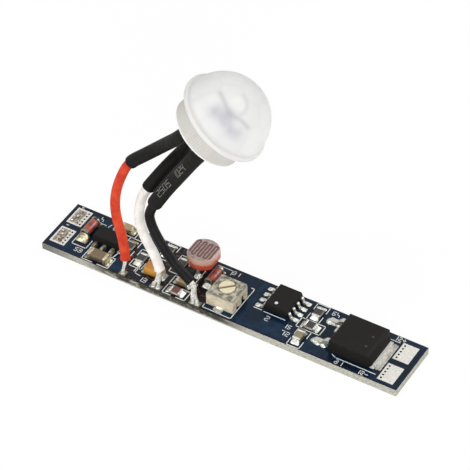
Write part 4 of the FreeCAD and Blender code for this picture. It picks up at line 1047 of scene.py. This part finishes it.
# %% Solder round the transistor's tab
TAB_PAD_END = 26.6
tab_grey = Finish("tab_grey", Metallic=0.3, Roughness=0.5)
rolled = tab_grey.noise(1.7, 3.0, 0.6)
tab_grey.put(Base_Color=tab_grey.mix(rolled.between(0.35, 0.65), (150, 149, 140), (190, 187, 178)))
tab_grey.bump(rolled, 0.03)
low, high = span("transistor_tab")
tab_y, tab_width = (low[1] + high[1]) / 2, high[1] - low[1]
tab_solder = [lumpy_sheet(high[0] - 0.1, low[1] - 0.2, TAB_PAD_END, high[1] + 0.2, BOARD_TOP, 0.09, 2.0, 30),
              fillet((high[0], tab_y, SEAT), (1, 0), tab_width - 0.2, 0.3, 0.62)]
for side in (-1, 1):
    tab_solder.append(fillet((high[0] - 0.7, tab_y + side * tab_width / 2, SEAT), (0, side), 1.2, 0.4, 0.45))
piece("tab_pad_solder", tab_solder, tab_grey)

# %% [markdown]
# ## Photocell
# A pressed ceramic disc with two flat sides under clear varnish. Its face is greyish pink, its
# side pale above and orange-red below where the coating gathers. Three materials would meet in
# hard lines, so one finish goes by height, and noise makes the line of the coating wander. The
# winding track is the CAD node, whose shape is right.

# %% Photocell
COATING, FACE = (4.6, 5.25), (5.13, 5.19)
DISC_LEVELS = [(0.2, 0), (0.06, 0.06), (0.0, 0.22), (0.0, 0.86), (0.04, 0.95), (0.12, 0.985), (0.2, 1.0)]
low, high = span("photocell")
centre = (low + high) / 2
RADIUS, FLAT = (high[1] - low[1]) / 2, (high[0] - low[0]) / 2


def disc_outline(inset):
    """A circle cut off at two flat sides, drawn in by inset."""
    plan = circle(RADIUS - inset, 64)
    plan[:, 0] = np.clip(plan[:, 0], inset - FLAT, FLAT - inset)
    return plan


varnish = Finish("photocell_varnish", Coat_Weight=0.5, Coat_Roughness=0.1, Roughness=0.4)
z = varnish.axes()[2]
cloudy = varnish.noise(1.6, 3.0, 0.6)
side_colour = varnish.mix((z + cloudy * 1.3).between(*COATING), (190, 66, 38), (196, 158, 138))
face_colour = varnish.mix(cloudy.between(0.4, 0.65), (148, 124, 116), (176, 156, 148))
varnish.put(Base_Color=varnish.mix(z.between(*FACE), side_colour, face_colour))
piece("photocell_disc", [stacked([disc_outline(inset) for inset, _ in DISC_LEVELS],
                                 [share * (high[2] - low[2]) for _, share in DISC_LEVELS],
                                 (centre[0], centre[1], low[2]))], varnish, "photocell")
track_red = Finish("photocell_track_red", Base_Color=linear(98, 44, 42), Roughness=0.35, Coat_Weight=0.6)
dress(track_red, "photocell_track")
dress(tin, "photocell_leads")
low, high = span("photocell_leads")
for y_lead in (low[1] + 0.25, high[1] - 0.25):
    foot = ((low[0] + high[0]) / 2, y_lead, BOARD_TOP)
    joints.append(drop(foot, (0.62, 0.62, 0.65), seed=y_lead, power=1.6))

# %% [markdown]
# ## Trimmer and transistor case
# The CAD shapes are right but for two measures: the photograph shows the trimmer a little taller
# with a smaller cut corner, and the case a little longer. New meshes could be drawn, but moving
# those few points keeps all the rest. The edges are razor sharp, so each copy is merged, freed of
# its flat triangles and given a small rounding by a modifier.

# %% Softened copies of CAD nodes
MERGE_METRES, FLAT_ANGLE, EDGE_ANGLE = 1e-6, math.radians(3), math.radians(40)
LIFT_FROM = 2.9


def reshaped(mesh, moves, lift):
    """Moves points, in millimetres: by (x, y) near each (x, y, reach), and the mesh's top up by lift."""
    points = points_of(mesh)
    places = points[:, :2].copy()
    for (x, y, reach), step in moves:
        points[np.linalg.norm(places - (x, y), axis=1) < reach, :2] += step
    points[points[:, 2] > LIFT_FROM, 2] += lift
    mesh.vertices.foreach_set("co", (points * MM).ravel())


def softened(node, width_mm, finish, body="module", moves=(), lift=0.0):
    """A merged copy of a CAD node whose sharp edges are rounded a little."""
    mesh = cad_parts[node].data.copy()
    mesh.materials.clear()
    reshaped(mesh, moves, lift)
    work = bmesh.new()
    work.from_mesh(mesh)
    bmesh.ops.remove_doubles(work, verts=work.verts, dist=MERGE_METRES)
    bmesh.ops.dissolve_limit(work, angle_limit=FLAT_ANGLE, verts=work.verts, edges=work.edges)
    work.to_mesh(mesh)
    work.free()
    rounding = piece(node + "_soft", mesh, finish, node, body).modifiers.new("rounding", "BEVEL")
    rounding.width = width_mm * MM
    rounding.segments = 2
    rounding.limit_method = "ANGLE"
    rounding.angle_limit = EDGE_ANGLE
    rounding.use_clamp_overlap = True


print("Softening is ready")

# %% [markdown]
# The base is pale ceramic with painted shade in a recess in its side, painted by place because
# the recess is too shallow to throw a shadow. The top of the base under the plate is grey. The
# rotor is creamier, and darker in its slot.

# %% Trimmer finishes
LIFT = 0.3
RECESS_OUT, RECESS_IN, RECESS_TOP, RECESS_HALF = (0.26, 0.36), (0.47, 0.55), 2.6, 1.25
GROOVE = (3.2 + LIFT, 3.55 + LIFT)
low, high = span("trimmer_base")
cream = Finish("trimmer_cream", Roughness=0.55)
stain = cream.noise(1.2, 4.0, 0.6)
x, y, z = cream.axes()
# Painted shade in the recess in the base's side.
recess_shade = (high[0] - x).within(RECESS_OUT, RECESS_IN) * (z < RECESS_TOP)
recess_shade = recess_shade * (1 - abs(y - (low[1] + high[1]) / 2).between(RECESS_HALF, RECESS_HALF + 0.05))
moulding = cream.mix(stain.between(0.35, 0.7), (214, 203, 180), (188, 177, 150))
moulding = cream.mix(recess_shade * 0.85, moulding, (50, 40, 32))
base_top = high[2] + LIFT
cream.put(Base_Color=cream.mix(z.between(base_top - 0.07, base_top - 0.02), moulding, (168, 162, 146)))
cream.bump(stain, 0.03)

rotor_cream = Finish("rotor_cream", Roughness=0.5, Coat_Weight=0.15)
worn = rotor_cream.mix(rotor_cream.noise(3.0, 3.0, 0.6), (232, 222, 190), (214, 202, 168))
# The rotor is darker in its slot, below the groove's height.
in_groove = 1 - rotor_cream.axes()[2].between(*GROOVE)
rotor_cream.put(Base_Color=rotor_cream.mix(in_groove * 0.75, worn, (120, 96, 66)))
print("Trimmer finishes are ready")

# %% [markdown]
# The rotor rides on the rotor body, so that its slot turns with the joint. Each move below is the
# place of a corner with a small reach round it, and how far that corner goes.

# %% Trimmer and transistor case
AT, NEAR = 0.03, 0.6
BASE_MOVES = [((2.3, 0.0, AT), (0, 0.65)), ((1.3, 1.0, AT), (0.65, 0))]
PLATE_MOVES = [((2.05, -0.25, AT), (0.1, 0.7)), ((1.05, 0.75, AT), (0.7, 0.1)),
               ((2.05, -3.35, AT), (0.1, 0)), ((-2.05, 0.75, AT), (0, 0.1))]
CASE_LIFT, CASE_LONGER, CASE_END = 0.2, (0.5, 0), 24.3
CASE_CORNERS = [(-3.05, NEAR), (3.45, NEAR), (-2.5, AT), (2.9, AT)]
CASE_MOVES = [((CASE_END, y, reach), CASE_LONGER) for y, reach in CASE_CORNERS]
softened("trimmer_base", 0.06, cream, moves=BASE_MOVES, lift=LIFT)
softened("trimmer_top_plate", 0.04, sheet, moves=PLATE_MOVES, lift=LIFT)
softened("trimmer_rotor", 0.06, rotor_cream, "rotor", lift=LIFT)
softened("transistor", 0.08, epoxy, moves=CASE_MOVES, lift=CASE_LIFT)
dress(tin, "trimmer_terminals")
low, high = span("trimmer_terminals")
joints.append(fillet((0, low[1] + 0.7, SEAT), (0, -1), 1.2, 0.4, 0.75))
for x_end in (-1.15, 1.15):
    joints.append(fillet((x_end, high[1] - 0.7, SEAT), (0, 1), 0.9, 0.5, 0.85))

# %% [markdown]
# ## Sensor head
# The head has an upright frame of its own: origin in the middle of the flange's top, third axis
# out of the dome. The lens is one closed skin, turned from a profile that runs down the outside
# and back up the inside. A ball with a Solidify would have the same thickness all over, but on
# the inside each cell of the dome is flat: the radius in a direction d is the distance of the
# flat divided by the greatest dot product of d with the axes of the cells.

# %% Lens skin
HEAD_PLACE = np.array([-0.98, 0.64, 35.48])
HEAD_TILT, HEAD_TURN = math.radians(40.3), math.radians(24.8)
HEAD_TURNED = np.array(Matrix.Rotation(HEAD_TILT, 3, (-math.sin(HEAD_TURN), math.cos(HEAD_TURN), 0)))
BALL, BALL_DROP, WALL, FACET_DEPTH = 6.7846, 0.6846, 0.5, 0.2
INNER = BALL - WALL
FLANGE_RADIUS, SKIRT_RADIUS, BORE_RADIUS, SKIRT_END, FLANGE = 7.25, 5.75, 4.65, -4.4, 0.8
LENS_COLUMNS, DOME_ROWS, DOME_FOOT = 144, 44, 0.3
CELL_RINGS = [(0, 1), (30, 6), (60, 12)]
BELOW_DOME = [
    (6.79, 0.16), (6.87, 0.07), (6.98, 0.01), (7.1, -0.03), (7.2, -0.1), (FLANGE_RADIUS, -0.22),
    (FLANGE_RADIUS, -0.62), (7.2, -0.74), (7.08, -FLANGE), (5.95, -FLANGE), (5.82, -0.84),
    (SKIRT_RADIUS, -0.95), (SKIRT_RADIUS, -2.0), (SKIRT_RADIUS, -3.2), (SKIRT_RADIUS, SKIRT_END + 0.1),
    (SKIRT_RADIUS - 0.1, SKIRT_END), (BORE_RADIUS + 0.06, SKIRT_END), (BORE_RADIUS, SKIRT_END + 0.06),
    (BORE_RADIUS, 0.0)]


def in_head(points):
    """Points of the head's own frame, in the frame of the part."""
    return np.asarray(points) @ HEAD_TURNED.T + HEAD_PLACE


def sphere_directions(tips, turn):
    """(sin tip cos turn, sin tip sin turn, cos tip) for every tip and turn."""
    tips = tips[:, None]
    return np.stack([np.sin(tips) * np.cos(turn), np.sin(tips) * np.sin(turn),
                     np.cos(tips) * np.ones_like(turn)], axis=2)


CELLS = np.concatenate([sphere_directions(np.radians([tip]), 2 * np.pi * np.arange(count) / count)[0]
                        for tip, count in CELL_RINGS])
turn = np.linspace(0, 2 * np.pi, LENS_COLUMNS, endpoint=False)
outer_tips = np.linspace(0, math.acos(BALL_DROP / BALL), DOME_ROWS)
outer = sphere_directions(outer_tips, turn) * BALL - [0, 0, BALL_DROP]
outer = outer[outer[:, 0, 2] > DOME_FOOT]
radii, heights = np.array(BELOW_DOME).T
below_dome = np.stack([np.outer(radii, np.cos(turn)), np.outer(radii, np.sin(turn)),
                       np.outer(heights, np.ones_like(turn))], axis=2)
directions = sphere_directions(np.linspace(math.acos(BALL_DROP / INNER), 0, DOME_ROWS), turn)
flat_radius = (INNER - FACET_DEPTH) / (directions @ CELLS.T).max(axis=2)
inner = directions * np.minimum(flat_radius, INNER)[..., None] - [0, 0, BALL_DROP]
inner[..., 2] = np.maximum(inner[..., 2], 0)
lens_mesh = to_mesh("lens_cap_skin", [rings(in_head(np.concatenate([outer, below_dome, inner])))])
print("Lens has", len(lens_mesh.polygons), "faces")

# %% [markdown]
# The dome is milky, and its colour carries painted light and shade for what shows through it:
# each cell painted lighter or darker, painted shade along the cell edges, along a line and an arc
# and in one spot, three painted light spots, and the violet-grey painted shade of the sensor's
# window. They could be painted on an image, but here each is a number stored at every point of
# the mesh, worked out from that point's place in the head's own frame. So they are fixed to the
# lens. A spot is exp(-(d / reach) ** 4) with d the distance from its middle.

# %% Pattern of the dome
# Painted light and shade of each cell.
PAINTED_CELL_LIGHT = np.array([0.55, 0.5, 0.6, 0.5, 0.6, 0.45, 0.4, 0.6, 0.5, 0.6, 0.5, 0.6, 0.5, 0.6, 0.5, 0.6,
                        0.35, 0.5, 0.6])
CELL_BLEND, CELL_LINE, ON_DOME_RISE = 45.0, 0.035, 2
# Painted light spots, a painted shade spot, painted shade along a line and an arc, and the painted shade of
# the sensor showing through.
LIGHT_SPOTS = [((-2.92, -4.71, 3.23), 0.9, 0.6), ((-0.3, -3.5, 5.12), 1.1, 0.8), ((1.68, -4.87, 3.73), 0.7, 0.6)]
SHADE_SPOT, SHADE_SPOT_REACH = (-0.1, -5.1, 3.8), 0.95
SHADE_LINE = np.array([(-3.12, -3.61, 4.14), (-1.85, -4.3, 4.23), (-0.6, -4.84, 4.03), (0.24, -4.93, 3.98),
                   (1.28, -4.47, 4.26), (2.17, -4.14, 4.23), (3.08, -3.82, 4.0)])
SHADE_ARC = np.array([(-0.83, -2.01, 5.74), (0.02, -2.16, 5.75), (0.74, -2.63, 5.53), (1.14, -3.4, 5.07),
                (1.06, -4.16, 4.57)])
SENSOR_SHADE = np.array([(-1.68, -5.57, 2.81), (-0.76, -5.59, 3.09), (0.27, -5.6, 3.14), (1.41, -5.51, 3.01),
                  (2.41, -5.33, 2.75)])
SHADE_LINE_REACH, SHADE_ARC_REACH, SHADE_ARC_SHARE, SENSOR_SHADE_REACH = 0.36, 0.35, 0.6, 1.15


def spot(points, middle, reach, power):
    """exp(-(d / reach) ** power), with d the distance of a point from the middle."""
    return np.exp(-(np.linalg.norm(points - middle, axis=1) / reach) ** power)


def near_route(points, route, reach):
    """exp(-(d / reach) ** 2), with d the distance of a point from a route of straight pieces."""
    nearest = np.full(len(points), np.inf)
    for start, stop in zip(route[:-1], route[1:]):
        ahead = stop - start
        share = np.clip((points - start) @ ahead / (ahead @ ahead), 0, 1)
        nearest = np.minimum(nearest, np.linalg.norm(points - start - share[:, None] * ahead, axis=1))
    return np.exp(-(nearest / reach) ** 2)


local = (points_of(lens_mesh) - HEAD_PLACE) @ HEAD_TURNED
dots = unit(local + [0, 0, BALL_DROP]) @ CELLS.T
nearness = np.exp(dots * CELL_BLEND)
second, first = np.sort(dots, axis=1)[:, -2:].T
# Painted light and shade of the dome, stored at each point: light spots, shade lines, a shade spot, cell
# edges, cell light and the sensor's shade.
FACTS = {
    "spots": sum(share * spot(local, middle, reach, 4) for middle, reach, share in LIGHT_SPOTS),
    "painted_shade_lines": np.maximum(near_route(local, SHADE_LINE, SHADE_LINE_REACH),
                         SHADE_ARC_SHARE * near_route(local, SHADE_ARC, SHADE_ARC_REACH)),
    "painted_shade_spot": spot(local, SHADE_SPOT, SHADE_SPOT_REACH, 2),
    "cell_line": 1 - np.clip((first - second) / CELL_LINE, 0, 1),
    "cell_light_and_shade": nearness @ PAINTED_CELL_LIGHT / nearness.sum(axis=1),
    "on_dome": np.clip(local[:, 2] * ON_DOME_RISE, 0, 1),
    "painted_sensor_shade": near_route(local, SENSOR_SHADE, SENSOR_SHADE_REACH),
}
for name, values in FACTS.items():
    stored = lens_mesh.attributes.new(name, "FLOAT", "POINT")
    stored.data.foreach_set("value", values.astype(np.float32))
local_place = lens_mesh.attributes.new("in_head", "FLOAT_VECTOR", "POINT")
local_place.data.foreach_set("vector", local.astype(np.float32).ravel())
print("Dome carries", len(FACTS) + 1, "attributes")

# %% [markdown]
# Light enters the polythene and comes out again near by, which Subsurface gives. Its radius is
# the same for red, green and blue, because this plastic has no tint of its own. The skirt's fine
# ribs are a sine of the angle round the head, in bump and as painted shade in the colour, because
# real ones would need thousands of faces. The flange and the skirt are painted darker than the
# dome as painted shade, and the skirt's bottom rim is a painted highlight.

# %% Milky finish
RIBS, BELOW, RIM_HIGHLIGHT = 96, (-1.2, -0.8), (SKIRT_END + 0.15, SKIRT_END + 0.4)
PLACE, NUMBER = 1, 2
milky = Finish("milky_polythene", Roughness=0.75, Subsurface_Weight=0.7, Subsurface_Scale=0.001,
               Subsurface_Radius=(1, 1, 1), Specular_IOR_Level=0.12)


def fact(name, output=NUMBER):
    """What the mesh stores under a name, as a number or as a place."""
    return milky.node("ShaderNodeAttribute", output=output, attribute_name=name)


place_in_head = fact("in_head", PLACE)
uneven = milky.noise(0.8, 2.0, 0.5, place_in_head)
# The dome's colour: cell light and shade, painted shade at the cell edges and of the sensor, painted light
# spots, a painted shade spot and painted shade lines.
shade = milky.layered(
    milky.mix(fact("cell_light_and_shade"), (216, 216, 215), (231, 231, 229)),
    (fact("cell_line") * 0.07, (176, 177, 180)),
    (fact("painted_sensor_shade") * (uneven * 0.6 + 0.3), (180, 177, 188)),
    (fact("spots") * 0.4, (238, 240, 238)),
    (fact("painted_shade_spot") * 0.5, (172, 172, 178)),
    (fact("painted_shade_lines") * 0.45, (176, 176, 180)))
dome_share = fact("on_dome")
# Painted shade: the flange is a darker copy of the dome's white.
skin = milky.mix(dome_share, (214, 213, 211), shade)
head_x, head_y, depth = milky.axes(place_in_head)
below = 1 - depth.between(*BELOW)
ribs = (head_y.angle_to(head_x) * RIBS).sine() * 0.5 + 0.5
# Painted shade: the skirt darker, and darker still between the ribs; a painted highlight on its bottom rim.
skirt_colour = milky.mix(ribs * 0.4, (203, 200, 195), (176, 173, 168))
skirt_colour = milky.mix((1 - depth.between(*RIM_HIGHLIGHT)) * 0.8, skirt_colour, (242, 241, 238))
milky.put(Base_Color=milky.mix(below, skin, skirt_colour))
soft_waves = milky.noise(0.35, 3.0, 0.55, place_in_head)
milky.bump(fact("cell_line") * dome_share * 0.15 + ribs * below * 0.15 + soft_waves * 0.3, 0.1)
piece("lens_cap_skin", lens_mesh, milky, "lens_cap")

# %% [markdown]
# The sensor inside is seen only where the skirt is open, so the CAD nodes stay with plain finishes.

# %% Sensor inside the cap
can_metal = Finish("sensor_can_metal", Metallic=1.0, Roughness=0.3, Base_Color=linear(190, 188, 182))
window_dark = Finish("sensor_window_dark", Metallic=0.3, Roughness=0.12, Base_Color=linear(46, 34, 60),
                     Coat_Weight=0.5)
element_grey = Finish("sensor_element_grey", Roughness=0.5, Base_Color=linear(120, 118, 116))
dress(can_metal, "sensor_can", "sensor_header", "sensor_pins")
dress(window_dark, "sensor_window")
dress(element_grey, "sensor_element")
print("Sensor is dressed")

# %% [markdown]
# ## Leads
# Each lead starts at a pin of the sensor and ends above its solder spot, and the points between
# are chosen from the photograph. A hanging cord would be worked out by physics, but these short,
# stiff wires carry the head and are held at both ends. The sleeve is matte black, dusty and
# slightly creased, and the insulation is cloudy.

# %% Finishes of the leads
sleeve_black = Finish("sleeve_matte_black", Specular_IOR_Level=0.15)
dust = sleeve_black.noise(5.0, 3.0, 0.6)
sleeve_black.put(Base_Color=sleeve_black.mix(dust, (10, 10, 9), (26, 25, 23)), Roughness=0.55 + dust * 0.15)
sleeve_black.bump(sleeve_black.noise(0.9, 3.0, 0.6), 0.25)


def insulation(name, deep, pale):
    """Plastic in two shades that blend in clouds, slightly uneven."""
    made = Finish(name, Roughness=0.5, Specular_IOR_Level=0.15)
    made.put(Base_Color=made.mix(made.noise(0.7, 3.0, 0.6).between(0.35, 0.65), deep, pale))
    return made.bump(made.noise(1.1, 3.0, 0.55), 0.12)


red = insulation("insulation_red", (192, 54, 30), (210, 74, 44))
white = insulation("insulation_white", (222, 216, 209), (239, 235, 229))
black = insulation("insulation_black", (8, 8, 8), (18, 17, 16))

strand_tin = Finish("strand_tin", Metallic=0.5)
dark_gap = strand_tin.noise(3.0, 2.0, 0.6, strand_tin.stretched(3.0, 3.0, 0.8))
strand_tin.put(Base_Color=strand_tin.mix(dark_gap.between(0.35, 0.6), (180, 176, 164), (250, 249, 243)),
               Roughness=0.3 + dark_gap * 0.2)
print("Lead finishes are ready")

# %% [markdown]
# A row gives a lead's finish, the turn of its pin round the header, the sleeve's radius and end,
# the x of its solder spots and its route.

# %% Routes of the leads
LEADS = {
    "red": (red, 90, 1.025, 17.0, [-16.4], [
        (-10.57, -0.75, 26.85), (-13.49, -1.1, 24.01), (-16.43, -1.6, 21.32), (-17.23, -2.4, 19.14),
        (-17.84, -3.1, 16.43), (-17.81, -3.7, 13.71), (-17.11, -4.1, 10.94), (-16.11, -4.3, 8.11),
        (-15.87, -4.3, 4.53)]),
    "white": (white, 0, 1.025, 17.65, [-11.015, -10.235], [
        (-8.49, 1.6, 25.3), (-10.25, 0.5, 22.82), (-11.98, -0.7, 20.03), (-13.74, -2.1, 16.89),
        (-13.92, -2.9, 15.1), (-13.71, -3.6, 13.36), (-12.94, -4.1, 11.51), (-11.55, -4.5, 9.66),
        (-10.24, -4.6, 7.72), (-9.69, -4.6, 5.53)]),
    "black": (black, 180, 1.175, 17.4, [-4.14, -3.36], [
        (-7.02, -2.5, 24.06), (-9.35, -3.0, 20.3), (-11.9, -3.6, 15.38), (-11.46, -3.95, 13.7),
        (-10.42, -4.25, 12.03), (-8.69, -4.5, 9.82), (-6.85, -4.5, 7.35), (-4.39, -4.4, 5.4)]),
}
PIN_REACH, HEADER_BOTTOM, FIRST_PIN, STRAIGHT_START = 2.54, -4.2, 130.0, 3.0
lines_of = {}
for colour, (_, pin_turn, *_, route) in LEADS.items():
    angle = math.radians(FIRST_PIN + pin_turn)
    foot = in_head([PIN_REACH * math.cos(angle), PIN_REACH * math.sin(angle), HEADER_BOTTOM])
    lines_of[colour] = smooth_line(np.array([foot, foot - HEAD_TURNED[:, 2] * STRAIGHT_START, *route]))
    print(colour, "lead:", round(along(lines_of[colour])[-1], 1), "mm")

# %% [markdown]
# The heat-shrink sleeve is a tube with two walls round the insulated wire, whose cut end flares a
# little. Below it the bare strands start close together, fan out and are soldered down one by
# one. A single cone would be simpler, but the dark gaps between the strands are what the
# photograph shows. Each strand is a thin tube on a smooth line of its own.

# %% Insulation and sleeves
WIRE_RADIUS, SLEEVE_PLAY, SLEEVE_START, WIRE_START = 0.75, 0.03, 0.3, 3.0
CUT_FLARE, FLARE_REACH, SLEEVE_END_SCALE, WIRE_ROWS, SLEEVE_ROWS = 0.1, 0.9, 0.94, 90, 60
for colour, (finish, _, sleeve_radius, sleeve_end, *_) in LEADS.items():
    line = lines_of[colour]
    whole = along(line)[-1]
    from_cut = (whole - WIRE_START) * np.linspace(1, 0, WIRE_ROWS)
    flare = 1 + CUT_FLARE * np.clip(1 - from_cut / FLARE_REACH, 0, 1) ** 2
    wire = carried(stretch_of(line, WIRE_START, whole, WIRE_ROWS), circle(WIRE_RADIUS), Y_AXIS, flare)
    piece(f"wire_{colour}_insulation", [rings(wire)], finish, f"wire_{colour}")
    sleeve_line = stretch_of(line, SLEEVE_START, sleeve_end, SLEEVE_ROWS)
    ends = np.ones(SLEEVE_ROWS)
    ends[[0, -1]] = SLEEVE_END_SCALE
    outside = carried(sleeve_line, circle(sleeve_radius), Y_AXIS, ends)
    inside = carried(sleeve_line, circle(WIRE_RADIUS + SLEEVE_PLAY), Y_AXIS)
    piece(f"sleeve_{colour}_tube", [rings(np.concatenate([outside, inside[::-1]]), closed=True)],
          sleeve_black, f"sleeve_{colour}")

# %% Bare strands and their solder
SPLICE_START, SPLICE_RADIUS, SPOT_Y = 1.8, 0.4, -4.35
STRANDS, STRAND_RADIUS, CLOSE_UP, KNEE_HEIGHT = 3, 0.17, 0.45, 1.5
SPREAD_TOP, SPREAD_KNEE, SPREAD_FOOT = 0.18, (0.09, 0.1, 0), (0.09, 0.14, 0)
TOP_LEAN, IN_WIRE, FREE_LENGTH, FOOT_LENGTH = 0.15, 0.3, 0.9, 0.25
strands = []
for colour, (*_, spots, _) in LEADS.items():
    line = lines_of[colour]
    splice = stretch_of(line, SPLICE_START, WIRE_START + 0.05, 4)
    strands.append(rings(carried(splice, circle(SPLICE_RADIUS, 12), Y_AXIS)))
    end, ahead = line[-1], unit(line[-1] - line[-2])
    for number, spot_x in enumerate(spots):
        foot = np.array([spot_x, SPOT_Y, SEAT])
        for k in range(STRANDS):
            spin = 2 * math.pi * k / STRANDS + number
            small = np.array([math.cos(spin), math.sin(spin), 0])
            start = end + small * SPREAD_TOP + [(spot_x - end[0]) * TOP_LEAN, 0, 0] - ahead * IN_WIRE
            knee = foot + small * SPREAD_KNEE + [(end[0] - spot_x) * CLOSE_UP, 0, KNEE_HEIGHT]
            bottom = foot + small * SPREAD_FOOT
            above = bottom + [0, 0, FOOT_LENGTH]
            route = np.array([start, start + ahead * FREE_LENGTH, knee, above, bottom])
            strands.append(rings(carried(smooth_line(route, 5), circle(STRAND_RADIUS, 8), Y_AXIS)))
        joints.append(drop(foot, (0.34, 0.4, 0.9), seed=spot_x, power=2.2))
piece("bare_strands", strands, strand_tin, "lead_strands")
piece("solder_slopes", joints, solder, "solder_joints")

# %% [markdown]
# The widest sleeve carries faint printing. Plain digits stand in for it, bent round the sleeve: x
# runs along the lead, y round it, and the rise stands off its wall. A straight stroke would cut
# through the round wall, so each is cut into short pieces first.

# %% Digits on the wide sleeve
PRINT_RISE, PRINT_SINK, PRINT_WIDTH, PIECES = 0.012, 0.02, 0.12, 8
PRINT_START, PRINT_TURN = 10.5, math.radians(200)
PRINTED = [("2505", -2.2), ("1024", 3.2)]


def wrapped(surface, line, radius, start, side_turn):
    """Flat strokes carried onto a tube: x along its line from start, y round it."""
    points, faces = surface
    wanted = start - points[:, 0]
    middle, side, up = (sampled(line, rows, wanted) for rows in (line, *frames(line, Y_AXIS)))
    side, up = unit(side), unit(up)
    angle = (side_turn + points[:, 1] / radius)[:, None]
    return middle + (radius + points[:, 2:]) * (np.cos(angle) * side + np.sin(angle) * up), faces


faint = Finish("faint_print", Base_Color=linear(120, 116, 110), Roughness=0.7)
routes = np.array([line for text, place in PRINTED for line in written(text, place, 0, 1.0)])
corners = routes[:, :2] + np.linspace(0, 1, PIECES + 1)[:, None, None] * (routes[:, 2:] - routes[:, :2])
short = np.concatenate([corners[:-1], corners[1:]], axis=2).reshape(-1, 4)
digits = strokes(short, PRINT_WIDTH, -PRINT_SINK, PRINT_SINK + PRINT_RISE)
round_sleeve = wrapped(digits, lines_of["black"], LEADS["black"][2], PRINT_START, PRINT_TURN)
piece("sleeve_digits", [round_sleeve], faint)

# %% Sizes and finish
dressed_box = [list(corner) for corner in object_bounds()]
print("dressed box in mm:", [[round(value / MM, 2) for value in corner] for corner in dressed_box])
